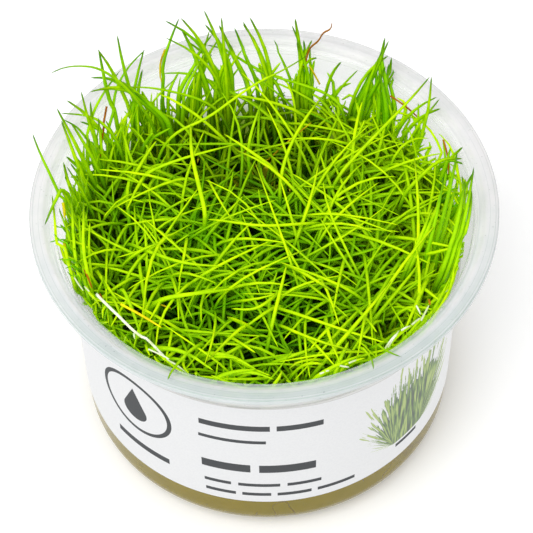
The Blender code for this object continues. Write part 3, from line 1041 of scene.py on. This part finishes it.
# %% Short and arching blades
def short_blades(spots, each):
    """Short blades that fill the foot of the turf."""
    roots = roots_on(spots, each)
    count = len(roots)
    lean = leans(count)
    climb = UP * (chance.uniform(*SHORT_CLIMB, count)[:, None] * MM)
    reach = lean * (chance.uniform(*SHORT_REACH, count)[:, None] * MM)
    tip = roots + climb + reach
    guides = np.stack([roots, roots + climb * 0.5, tip - reach * 0.5 + climb * 0.1, tip], axis=1)
    # Their deep tints are partly painted shade at the dark foot of the turf.
    return guides, *looks(count, (0.75, 1.0), (0.7, 1.0))


def left_standing(middle):
    """Says which arching blades stay: few over the hollow and in small gaps."""
    over = np.linalg.norm((middle - CLEARING_PLACE) / CLEARING_SIZE, axis=1) < 1
    thin = np.array([noise.noise((x / GAP_SIZE, y / GAP_SIZE, 0)) for x, y in middle]) < GAP_LEVEL
    return ~(over | thin) | (chance.uniform(0, 1, len(middle)) < CLEARING_LEFT)


def arching_blades(spots, each):
    """Blades that climb, bend over and lie across one another."""
    roots = roots_on(spots, each)
    count = len(roots)
    lean = leans(count)
    crown = chance.triangular(*ARCH_CROWN, count)
    crown = crown - CROWN_FALL * np.clip(roots[:, 1] / MM / CROWN_FALL_AT, 0, 1)
    climb = UP * (crown[:, None] * MM - GEL_TOP)
    reach = lean * (chance.triangular(*ARCH_REACH, count)[:, None] * MM)
    drop = UP * (chance.normal(-1.5, 3.2, count)[:, None] * MM)
    tip = roots + climb + drop + reach
    sway = chance.normal(0, 3.2, (count, 2)) * MM
    bow = columns(sway[:, 0], sway[:, 1], 0.0)
    first = roots + climb * 0.85 + bow * 0.5
    top = roots + reach * 0.42 + climb * 1.06 + bow * 1.6
    tip[:, :2] *= np.minimum(1, TIP_LIMIT / np.hypot(tip[:, 0], tip[:, 1]))[:, None]
    # Lower crowns get deeper tints: painted shade for blades lying under the others, with a random
    # spread of their own colour.
    tints = np.clip(0.62 - (crown - 50) / 12 + chance.normal(0, 0.18, count), 0, 0.9)
    guides = np.stack([roots, first, top, tip], axis=1)
    kept = left_standing((top + tip)[:, :2] / 2)
    widths = chance.triangular(0.7, 0.95, 1.35, count) * BLADE_WIDTH
    print(kept.sum(), "arching blades")
    return guides[kept], widths[kept], tints[kept]


# %% Curves through a neck
def through(root, neck, tip):
    """Guide points of the curves that pass from the roots through the necks to the tips."""
    lower = np.linalg.norm(neck - root, axis=-1, keepdims=True)
    upper = np.linalg.norm(tip - neck, axis=-1, keepdims=True)
    share = np.clip(lower / (lower + upper), 0.2, 0.8)
    turn = (neck - (1 - share) ** 2 * root - share**2 * tip) / (2 * share * (1 - share))
    return np.stack([root, root + (turn - root) * 2 / 3, tip + (turn - tip) * 2 / 3, tip], axis=1)


def on_wall(bearing, height, distance):
    """Points in metres from bearings in degrees, and heights and distances in millimetres."""
    angle = np.radians(bearing)
    return columns(distance * np.cos(angle), distance * np.sin(angle), height) * MM


# %% [markdown]
# Along the wall the plantlets form tufts. Their blades rise from a spread foot, draw together at a
# neck near the mouth of the cup and part again into single tips. The highest tips of the real
# turf were read from the photograph as a bearing from the right-hand side and a height, because
# they alone make its outline. Single upright blades and broader leaves fill the wall between them.

# %% Tufts along the wall
GEL_LEVEL = GEL_TOP / MM
# Each tuft: bearing and height of the neck, then bearing, height and distance of each tip.
WALL_TUFTS = [
    ((131, 66), [
        (134, 84.7, 44), (142, 85.4, 44), (125, 74.7, 44), (126, 68.4, 44), (147, 75, 44), (145, 74, 44),
    ]),
    ((108, 68.5), [
        (118, 80.7, 44), (113, 79.6, 44), (113, 76.2, 44), (118, 75, 44), (102, 69.3, 44),
        (104, 70.5, 46),
    ]),
    ((101, 67.5), [(106, 79.9, 44), (101, 76.5, 44), (106, 75.3, 44), (98, 66, 44)]),
    ((88, 59), [(95, 74.2, 44), (93, 75.4, 44), (95, 73.3, 44), (84, 62, 43)]),
    ((77, 63), [
        (80, 75.4, 44), (81, 73, 44), (79, 70, 42), (75, 69, 44), (72, 68, 40), (74, 63.5, 44),
    ]),
    ((69, 56), [(64, 69, 40), (62, 60, 43), (59, 67, 41), (70, 61, 43)]),
    ((54, 67), [(53, 73.4, 44), (51, 77.9, 44), (51, 72.8, 44), (56, 67.5, 43), (49, 66, 44)]),
    ((36, 63), [(34, 77, 44), (31, 72.4, 44), (29, 70, 44), (38, 66, 43), (33, 69, 46)]),
    ((18, 62), [(14, 70, 44), (11, 67, 43.5), (8, 64, 43), (20, 65, 44), (25, 63, 44)]),
    ((150, 66), [(151, 78.6, 44), (155, 78, 46), (147, 72, 44), (153, 70, 44)]),
    ((161, 68), [(161, 81, 46), (159, 75, 46), (156, 72, 45), (165, 69, 43.5)]),
    ((172, 63), [(168, 70, 43.5), (175, 68, 43.5), (170, 67, 43)]),
    ((188, 62), [(181, 67, 43.5), (186, 66, 43.5), (192, 65, 43)]),
    ((2, 62), [(-1, 75.5, 44), (3, 66, 44), (-4, 64, 44)]),
]
TUFT_FILLERS = 8
# Bearings in degrees and the usual height of the single upright blades there in millimetres.
UPRIGHT_BEARINGS = (0, 30, 60, 90, 115, 140, 165, 195, 230, 270, 320, 360)
UPRIGHT_HEIGHTS = (62, 60, 57, 55, 59, 65, 67, 64, 60, 58, 60, 62)
CROWDED_BEARINGS = (100, 215)
LEAF_BEARINGS = (175, 365)
LEAF_HEIGHTS = (48, 60, 63.5)


# %% Blades along the wall
def tuft_blades():
    """Tufts that draw together at a neck, each with some shorter blades."""
    tufts = []
    for (bearing, height), ends in WALL_TUFTS:
        low = height - chance.uniform(1.0, 7.0, TUFT_FILLERS)
        fillers = columns(bearing + chance.normal(0, 3.0, TUFT_FILLERS), low, 43.0)
        ends = np.vstack([np.array(ends, float), fillers])
        count = len(ends)
        foot = on_wall(bearing + chance.normal(0, 6.0, count), GEL_LEVEL, chance.uniform(34, 40, count))
        gathered = bearing + chance.normal(0, 1.6, count)
        level = np.minimum(height, ends[:, 1] - 5)
        neck = on_wall(gathered, level, chance.uniform(41.3, 43.2, count))
        tufts.append(through(foot, neck, on_wall(*ends.T)))
    guides = np.concatenate(tufts)
    return guides, *looks(len(guides), (1.0, 1.45), (0.15, 0.7))


def upright_blades(count):
    """Single blades along the wall, which lean on it, and more of them on the left."""
    crowded = chance.uniform(*CROWDED_BEARINGS, count // 2)
    bearing = np.concatenate([chance.uniform(0, 360, count - count // 2), crowded])
    usual = np.interp(bearing, UPRIGHT_BEARINGS, UPRIGHT_HEIGHTS)
    foot = on_wall(bearing, GEL_LEVEL, chance.uniform(32, 40.5, count))
    height = usual + chance.triangular(-16, -4, 6, count)
    turned = bearing + chance.normal(0, 9, count)
    tip = on_wall(turned, height, chance.uniform(38, 43.5, count))
    level = GEL_LEVEL + (height - GEL_LEVEL) * 0.6
    neck = on_wall((bearing + turned) / 2, level, chance.uniform(37, 41.5, count))
    return through(foot, neck, tip), *looks(count, (0.75, 1.2), (0.0, 0.6))


def wall_leaves(count):
    """Broader blades that lie along the wall under the mouth, round the front half."""
    bearing = chance.uniform(*LEAF_BEARINGS, count)
    height = chance.triangular(*LEAF_HEIGHTS, count)
    started = bearing + chance.normal(0, 16, count)
    foot = on_wall(started, GEL_LEVEL, chance.uniform(35, 40.5, count))
    tip = on_wall(bearing, height, chance.uniform(43.2, 44.2, count))
    level = GEL_LEVEL + (height - GEL_LEVEL) * chance.uniform(0.6, 0.9, count)
    neck = on_wall(started * 0.4 + bearing * 0.6, level, chance.uniform(41.5, 43.5, count))
    return through(foot, neck, tip), *looks(count, (1.0, 1.45), (0.0, 0.35))


# %% [markdown]
# The solids have nineteen tufts. Single pieces for each would cut through long arching blades, so
# the turf is parted by where a blade is rooted: a centre and four parts of the ring round it.

# %% Turf in sectors
TURF_NODES = {
    "turf_centre": ["tuft_centre"] + [f"tuft_inner_{index}" for index in range(1, 7)],
    "turf_right": ["tuft_rim_12", "tuft_rim_1", "tuft_rim_2"],
    "turf_back": ["tuft_rim_3", "tuft_rim_4", "tuft_rim_5"],
    "turf_left": ["tuft_rim_6", "tuft_rim_7", "tuft_rim_8"],
    "turf_front": ["tuft_rim_9", "tuft_rim_10", "tuft_rim_11"],
}
CENTRE_REACH = 22 * MM
SHORT_EACH = 3
ARCHING_EACH = 4
UPRIGHT_COUNT = 300
LEAF_COUNT = 170


def sector_of(places):
    """Names the sector of each place: the centre, or one of four parts of the ring."""
    names = np.array(list(TURF_NODES)[1:])
    turn = np.degrees(np.arctan2(places[:, 1], places[:, 0])) + 45
    ring = names[(np.floor(turn % 360 / 90)).astype(int)]
    return np.where(np.hypot(places[:, 0], places[:, 1]) < CENTRE_REACH, "turf_centre", ring)


def add_turf():
    kinds = [
        short_blades(spots, SHORT_EACH), arching_blades(spots, ARCHING_EACH), tuft_blades(),
        upright_blades(UPRIGHT_COUNT), wall_leaves(LEAF_COUNT),
    ]
    guides, widths, tints = (np.concatenate(parts) for parts in zip(*kinds))
    lines = arched_lines(guides, short_blade)
    sectors = sector_of(lines[:, 0])
    for name, nodes in TURF_NODES.items():
        chosen = sectors == name
        piece = blades_piece(name, short_blade, lines[chosen], widths[chosen], tints[chosen], leaf)
        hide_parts(*nodes)


add_turf()

# %% [markdown]
# A crowd drawn at random gets the density right, and the outline wrong. So about sixty blades or
# small bundles are placed one by one: the high tips at the back and the sides, one that arches over
# the rim on the left, some that hang over the front of the mouth, thin dark tips at its left and
# right, and the most visible arcs of the middle. Each is a short path in millimetres, its points
# read in the photograph and rounded, which is made into an even, smooth line of points.

# %% Placed blades
# Each: how many lie side by side, width in millimetres, tint, then the path from foot to tip.
PLACED_BLADES = [
    (1, 0.85, 0.3, [
        (-20, 27, 34), (-23.5, 27.5, 58), (-26.5, 27.5, 66.5), (-30, 27.5, 73.5),
        (-34.5, 26.5, 80), (-38.5, 23.5, 84.5), (-42, 21, 87), (-45, 19, 87.5),
    ]),
    (1, 0.95, 0.4, [
        (-37, -4, 40), (-41.5, 1, 55), (-43, 3, 64), (-45, 4, 71.5), (-47, 5.5, 77), (-49, 7.5, 82),
    ]),
    (1, 0.85, 0.4, [
        (-4, 30, 34), (-7, 34, 48), (-10.5, 34.5, 57.5), (-22, 33.5, 64.5), (-31, 29.5, 70),
    ]),
    (1, 0.85, 0.1, [
        (-24, 18, 34), (-24, 20, 54), (-20, 22.5, 62), (-12, 24, 65),
        (-6.5, 27.5, 67), (-0.5, 31, 69), (5, 34, 69), (10, 37, 70),
    ]),
    (1, 0.85, 0.3, [
        (-12, -24, 40), (-13, -30, 56), (-14, -33.5, 62),
        (-16.5, -38, 65), (-19.5, -43, 66.5), (-21, -46, 65.5),
    ]),
    (1, 0.85, 0.3, [(20, -22, 34), (21, -30, 54), (23, -37, 64.5), (25, -40, 66.5), (28, -41.5, 66)]),
    (1, 0.85, 0.3, [(16, -20, 34), (18, -30, 55), (20, -38, 65), (21.5, -42, 67), (22, -44.5, 66)]),
    (1, 1.05, 0.5, [
        (-39, 5, 40), (-42, 5, 64), (-43, 3, 68.5), (-43.5, 1, 69), (-45, -3, 69), (-46.5, -6, 67.5),
    ]),
    (3, 1.2, 0.45, [
        (-19, 27, 34), (-21.5, 30, 57.5), (-24.5, 31, 60.5),
        (-29, 30.5, 67.5), (-32.5, 30, 72.5), (-37, 28.5, 74.5),
    ]),
    (1, 0.9, 0.5, [
        (-30, 24, 34), (-31.5, 26, 57.5), (-32.5, 28, 64.5),
        (-33.5, 28, 70), (-34.5, 28, 84.5),
    ]),
    (1, 0.9, 0.4, [
        (-33, 19, 34), (-34.5, 22, 60.5), (-32.5, 28, 64.5),
        (-31.5, 30.5, 69), (-28.5, 33.5, 72.5), (-25, 36.5, 74),
    ]),
    (1, 0.9, 0.4, [(-35, 14, 34), (-39, 16, 62), (-37, 22.5, 68.5), (-34, 28, 70.5), (-30.5, 32, 72.5)]),
    (1, 0.9, 0.4, [
        (-28, 20, 34), (-31, 21.5, 60), (-34.5, 22.5, 66.5),
        (-37.5, 22.5, 69), (-43.5, 20.5, 72.5),
    ]),
    (1, 0.85, 0.6, [(-32, 14, 34), (-35, 17, 58), (-39, 20, 67.5), (-43, 20, 71)]),
    (1, 1.0, 0.5, [
        (3, 30, 34), (3, 35, 50), (-0.5, 37, 53), (-6.5, 40, 55),
        (-11, 40.5, 58), (-16.5, 40.5, 62), (-22, 38, 65),
    ]),
    (3, 1.15, 0.45, [
        (-20, 30, 34), (-18.5, 35, 58), (-18, 37, 60),
        (-15.5, 40, 63), (-13, 42, 67.5), (-10.5, 43, 71),
    ]),
    (1, 1.0, 0.45, [(-6, 34, 34), (-8, 40, 55), (-9, 42, 59), (-12.5, 42, 66), (-16.5, 42, 70.5)]),
    (1, 0.95, 0.4, [
        (8, 34, 34), (5, 40, 54), (2.5, 42, 57.5),
        (-2.5, 43.5, 60.5), (-6.5, 43.5, 65), (-12, 43, 67.5),
    ]),
    (3, 1.15, 0.4, [
        (-2, 34, 34), (-2.5, 39.5, 51), (-3, 41.5, 56),
        (-5, 42.5, 61), (-7.5, 43.5, 68.5), (-9, 43.5, 73.5),
    ]),
    (2, 0.95, 0.4, [(9, 33, 34), (8.5, 38.5, 46), (7.5, 41, 53), (5.5, 43, 60.5), (3, 44, 67.5)]),
    (3, 1.1, 0.45, [(10.5, 34, 34), (10.5, 38.5, 47), (10.5, 41, 55), (10, 42.5, 61), (9.5, 43, 68.5)]),
    (1, 0.95, 0.2, [
        (20, 28, 34), (18.5, 32, 57), (15, 36, 58),
        (9, 39.5, 57.5), (3, 42, 57.5), (-2, 43.5, 59),
    ]),
    (1, 1.0, 0.0, [
        (3, 5, 34), (3.5, 6.5, 54), (3.5, 10.5, 61),
        (6, 17.5, 64), (10.5, 25, 66), (14.5, 29.5, 67),
    ]),
    (2, 1.2, 0.6, [(-30, 25, 34), (-28.5, 25, 50), (-25, 25, 57), (-20, 25, 61)]),
    (1, 1.1, 0.0, [
        (-12.5, 0, 34), (-13, 0, 57), (-12.5, 1.5, 61),
        (-14, 7.5, 63.5), (-15.5, 15.5, 64.5), (-15.5, 23.5, 64),
    ]),
    (1, 0.9, 0.1, [(-3, 17, 34), (-2.5, 17.5, 52), (-3.5, 19, 58), (-2.5, 22.5, 62), (0, 28, 66)]),
    (1, 1.0, 0.1, [
        (-26, 12, 34), (-27, 12.5, 56), (-25.5, 13, 60.5),
        (-19.5, 14, 63), (-13, 15.5, 64), (-5.5, 18.5, 63),
    ]),
    (1, 1.0, 0.0, [(6, 11, 34), (5, 12, 54), (3, 14, 59), (-3, 17.5, 62), (-8.5, 21.5, 63)]),
    (4, 1.15, 0.25, [
        (34, -17, 34), (37, -15, 54), (38.5, -15, 59),
        (41, -10.5, 65), (42.5, -4.5, 69), (42, 2.5, 71),
    ]),
    (3, 1.15, 0.35, [
        (34, -17, 34), (37, -15, 54), (38.5, -15, 59),
        (41, -10.5, 65), (43, -4.5, 70), (44.5, 2.5, 73.5),
    ]),
    (4, 1.1, 0.5, [(33, -11, 34), (35, -9.5, 56), (37.5, -4.5, 62), (39.5, 1.5, 67), (41.5, 9.5, 70)]),
    (2, 1.1, 0.1, [(28, -13, 34), (29.5, -12.5, 54), (31, -12, 59), (34.5, -6.5, 63), (38, 2.5, 64)]),
    (1, 0.95, 0.2, [(27, 7, 34), (29.5, 7.5, 57), (33.5, 9, 62), (38, 10.5, 66.5), (42.5, 7.5, 70)]),
    (4, 1.1, 0.1, [
        (-36, -17, 34), (-38.5, -17.5, 56), (-39.5, -16.5, 60.5),
        (-40.5, -11.5, 64), (-40.5, -3.5, 66), (-41, 2.5, 67),
    ]),
    (3, 1.0, 0.3, [
        (-35, -17, 34), (-37.5, -17, 56), (-38.5, -13.5, 60),
        (-39, -8.5, 62), (-39.5, 0, 63),
    ]),
    (1, 1.0, 0.0, [(3.5, -14, 34), (4, -15, 56), (1, -23, 62.5), (-2.5, -26, 63), (-7.5, -24, 61)]),
    (1, 1.0, 0.0, [
        (14, 3, 34), (14, 2, 56), (7.5, -2.5, 61.5),
        (-0.5, -4.5, 63.5), (-8.5, -2, 62.5), (-12.5, 0.5, 60),
    ]),
    (1, 1.15, 0.0, [
        (-26, -19, 34), (-25.5, -20.5, 56), (-22, -21.5, 61.5),
        (-17, -22, 63.5), (-10.5, -20.5, 62.5), (-6, -18, 60),
    ]),
    (1, 1.1, 0.0, [(-31, 0, 34), (-31, -1.5, 56), (-24.5, -9.5, 62), (-17, -14, 63.5), (-8.5, -13, 61)]),
    (2, 1.15, 0.2, [(-18, -27, 34), (-18, -28, 46), (-14, -34.5, 60), (-7.5, -36.5, 62), (-2, -40, 61)]),
    (1, 1.3, 0.2, [
        (-12, -33, 34), (-12, -35, 48), (-7.5, -40.5, 61),
        (-2.5, -41.5, 62.5), (1.5, -43.5, 61.5),
    ]),
    (1, 1.2, 0.2, [
        (-13, -34, 34), (-14, -36, 46), (-11.5, -41.5, 60),
        (-6.5, -41.5, 63), (-2, -40.5, 62),
    ]),
    (1, 1.2, 0.2, [(12, -34, 34), (12, -36, 44), (14, -42, 60), (15, -39, 63), (17, -34, 62.5)]),
    (1, 1.2, 0.2, [(5, -36, 34), (5, -38, 46), (9, -42.5, 60), (15, -40.5, 63), (20, -36.5, 61)]),
    (2, 1.15, 0.2, [
        (-26, -24, 34), (-28, -26, 46), (-24.5, -33.5, 61),
        (-17, -35.5, 62.5), (-11, -40.5, 61.5),
    ]),
    (2, 1.1, 0.2, [
        (-31, -13, 34), (-33, -14, 46), (-30.5, -17.5, 62),
        (-28, -25, 63.5), (-26, -31.5, 61),
    ]),
    (1, 1.15, 0.3, [
        (20, -30, 34), (22, -32, 46), (25.5, -34.5, 61),
        (28.5, -32.5, 62.5), (31.5, -29.5, 61.5),
    ]),
    (1, 0.5, 0.95, [(-40, -3, 58), (-43.5, -5, 64.5), (-44.5, -4.5, 66.5)]),
    (1, 0.5, 0.95, [(-40, -6, 60), (-44, -8, 65), (-45.5, -9, 65.5)]),
    (1, 0.5, 0.95, [(-39, -11, 58), (-42, -9.5, 64.5), (-44.5, -7.5, 66.5)]),
    (1, 0.5, 0.95, [(-38, -12, 60), (-41, -13.5, 65), (-43.5, -13.5, 65.5)]),
    (1, 0.5, 0.95, [(-38, -14, 60), (-41, -15, 65), (-42, -16, 65.5)]),
    (1, 0.5, 0.95, [(-38, -17, 58), (-40, -18, 64.5), (-41.5, -17.5, 66.5)]),
    (5, 1.2, 0.55, [(19, 33, 34), (19.5, 35.5, 50.5), (23, 35.5, 60.5), (26, 35, 71), (27, 36, 76)]),
    (5, 1.2, 0.55, [(24, 30, 34), (25.5, 31.5, 54), (26, 33, 62.5), (26, 35, 71), (27, 36, 77)]),
    (5, 1.2, 0.55, [(27, 27, 34), (28.5, 29, 58), (27.5, 32, 64.5), (26, 35, 71), (27, 36, 76)]),
    (1, 1.0, 0.1, [(10, 5, 40), (14.5, 9.5, 60), (22, 17, 63), (32, 27, 66), (36.5, 28, 73)]),
    (1, 0.9, 0.45, [
        (-22, 32, 34), (-22, 34.5, 54.5), (-22, 36, 60.5),
        (-21.5, 37.5, 68), (-19.5, 39.5, 74), (-17.5, 41, 79),
    ]),
    (1, 0.5, 0.95, [(37, 5.5, 58), (40, 5.5, 62), (42, 4, 64.5)]),
    (1, 0.5, 0.95, [(37, 4, 58), (40, 4, 62), (42, 2.5, 64.5)]),
    (1, 0.5, 0.95, [(37, 1, 58), (40, 1, 62), (42, -0.5, 64.5)]),
]
FOOT_SPREAD = 0.7 * MM
TIP_SPREAD = 1.9 * MM
SMOOTHINGS = 3
SHORTER_STRANDS = (0.72, 0.97)
WIDTH_CHANGES = (0.82, 1.08)
TINT_CHANGES = (0.0, 0.35)


# %% Lines of the placed blades
def read_at(places, lengths, path):
    """Points of a path at some lengths along it."""
    return np.stack([np.interp(places, lengths, path[:, axis]) for axis in range(3)], axis=1)


def smooth_line(path):
    """Turns a short path in millimetres into an even line of points in metres."""
    path = np.array(path, float) * MM
    for _ in range(SMOOTHINGS):
        cut = np.empty((2 * len(path) - 2, 3))
        cut[0::2] = path[:-1] * 0.75 + path[1:] * 0.25
        cut[1::2] = path[:-1] * 0.25 + path[1:] * 0.75
        path = np.vstack([path[:1], cut, path[-1:]])
    lengths = np.concatenate([[0], np.cumsum(np.linalg.norm(np.diff(path, axis=0), axis=1))])
    return read_at(long_blade.shares * lengths[-1], lengths, path)


def spread_strands(line, strands):
    """Lays shorter copies of a line beside it, closer at the foot than at the tip."""
    group = [line]
    shares = long_blade.shares
    reach = FOOT_SPREAD + (TIP_SPREAD - FOOT_SPREAD) * shares
    for cut in chance.uniform(*SHORTER_STRANDS, strands - 1):
        group.append(read_at(shares * cut, shares, line) + chance.normal(0, 1, 3) * reach[:, None])
    return np.array(group)


def add_placed_blades():
    strands, widths, tints, paths = zip(*PLACED_BLADES)
    groups = [spread_strands(smooth_line(path), count) for path, count in zip(paths, strands)]
    lines = kept_inside(np.concatenate(groups))
    widths = np.repeat(widths, strands) * MM * chance.uniform(*WIDTH_CHANGES, len(lines))
    tints = np.repeat(tints, strands) + chance.uniform(*TINT_CHANGES, len(lines))
    tints = np.clip(tints, 0, 1)
    piece = blades_piece("placed_blades", long_blade, lines, widths, tints, leaf)


add_placed_blades()

# %% [markdown]
# A white runner, the creeping stem that joins two plantlets, lies along the front left of the
# mouth, and short pale roots show at the wall. Some dead stems are brown, yellow or straw
# coloured. They are drawn with the same tube as the blades, each colour with its own finish.

# %% Runner and dead stems
RUNNER_PATH = [
    (-35.3, -22.6, 65.2), (-33, -26.2, 66.2), (-30, -29.6, 66), (-27.8, -32.3, 65.8),
    (-24.8, -34.6, 64.9), (-21.8, -36.6, 61.9), (-20.5, -37.4, 60.6), (-19.2, -38.0, 60.8),
    (-16.4, -39.0, 58.0),
]
BROWN_PATHS = [
    [
        (9.6, 41, 62), (10.4, 41.7, 65.4), (10.9, 41.6, 67.6), (12.8, 41.1, 70.2),
        (13.6, 40.8, 73.3), (15.4, 40.2, 75), (15.6, 40.1, 77.4),
    ],
    [(28.3, 31, 63.3), (32.2, 29.3, 61.8), (36, 26.9, 60.4)],
    [(-42.8, -3.9, 64.2), (-42.4, -5.1, 63.8), (-41.6, -6.0, 63.2)],
    [(-38.2, -14.9, 63.7), (-37.3, -17.1, 63.1), (-36.6, -18.5, 61.6)],
    [(-35.0, -19.4, 61), (-33.5, -22.3, 60)],
    [(-33.6, 25.7, 68), (-34.8, 21.5, 64), (-35.4, 18.7, 59)],
    [(39.8, 18.0, 64), (40.6, 14.5, 62), (40.3, 11.9, 59)],
    [(34.3, -25.2, 63.9), (34.6, -26.0, 63.9), (34.9, -26.8, 63.7)],
]
PALE_PATHS = [
    [(-41.6, -14.3, 60.5), (-40.4, -17.5, 61.6), (-39.2, -19.9, 62.3)],
    [(-38.5, -18.9, 62.6), (-37.4, -20.8, 63.4)],
    [(-27.8, -32.2, 63.9), (-27.9, -33.6, 63.4)],
    [(-25.4, -37.1, 63.6), (-23.0, -38.7, 64.0), (-20.9, -39.8, 63.6)],
    [(11.0, -42.9, 62.0), (12.0, -42.6, 62.2)],
    [(12.3, -42.4, 62.3), (13.0, -42.1, 62.2)],
    [(15.3, -41.2, 62.6), (17.5, -41.6, 61.6)],
    [(17.2, -40.6, 62.6), (18.8, -39.8, 62.6)],
    [(25.0, -36.2, 61.5), (26.2, -35.3, 63.2), (27.0, -34.6, 63.7), (27.9, -33.2, 63.9)],
    [(25.7, -36.0, 61.5), (26.8, -35.2, 63.5), (27.5, -34.4, 63.9), (27.7, -33.3, 64.0)],
    [(28.4, -33.3, 63.9), (29.4, -32.6, 63.9), (30.6, -32.0, 63.4)],
    [(30.9, -31.6, 63.3), (31.8, -30.9, 63.4), (32.9, -29.6, 63.0)],
    [(33.2, -29.9, 62.2), (34.0, -28.7, 63.4), (34.6, -26.9, 63.9)],
    [(31.4, -26.6, 64.0), (32.0, -27.9, 64.0), (32.7, -28.9, 63.4)],
]
YELLOW_PATHS = [
    [(-30.3, -24.8, 64.5), (-26.2, -28, 65.2), (-21.7, -31.2, 64.7)],
    [(-43.7, 2.1, 64.8), (-43.2, 0.6, 64.2), (-43.1, -1.2, 63.6)],
    [(-43.7, -8.1, 64.2), (-43.4, -10.2, 63.6), (-42.9, -12.6, 63)],
]
STRAW_PATHS = [
    [(-20.8, 37.2, 73), (-22.1, 36.6, 69), (-22.1, 35.5, 64)],
    [(1.5, 24.7, 50), (6, 26.5, 54), (10.9, 29.0, 57)],
    [(-4.1, 24.1, 46), (1.6, 26.3, 48)],
    [(-22.8, -21.5, 60), (-19.9, -22.2, 59)],
    [(12.9, 37.3, 60), (11.5, 38.3, 63), (10.5, 38.8, 65)],
]


def stems_finish(name, dark, light, roughness):
    """Makes a finish that wanders between two colours along the stem."""
    look = Finish(name, light, roughness, specular_ior_level=0.1)
    look.drive(look.ramp(noise_pattern(look, 380.0, 3.0), [(0.35, dark), (0.62, light)]), "Base Color")
    look.bump(noise_pattern(look, 1800.0), 0.2, 0.08 * MM)
    return look.surface


def add_stems(name, paths, width, surface):
    lines = kept_inside(np.array([smooth_line(path) for path in paths]))
    widths, tints = np.full(len(lines), width), np.zeros(len(lines))
    piece = blades_piece(name, long_blade, lines, widths, tints, surface)
    return piece


pale = stems_finish("pale_runner", (0.62, 0.76, 0.30), (0.88, 0.91, 0.74), 0.4)
runner = add_stems("runner_stem", [RUNNER_PATH], 0.75 * MM, pale)
add_stems("pale_roots", PALE_PATHS, 0.45 * MM, pale)
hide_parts("runner")
brown = stems_finish("dead_stem", (0.28, 0.075, 0.002), (0.52, 0.20, 0.003), 0.6)
add_stems("brown_stems", BROWN_PATHS, 0.5 * MM, brown)
yellow = stems_finish("yellow_leaf", (0.72, 0.56, 0.003), (0.92, 0.86, 0.003), 0.5)
add_stems("yellow_leaves", YELLOW_PATHS, 0.7 * MM, yellow)
straw = stems_finish("straw_stem", (0.42, 0.24, 0.003), (0.80, 0.62, 0.004), 0.6)
add_stems("straw_stems", STRAW_PATHS, 0.45 * MM, straw)
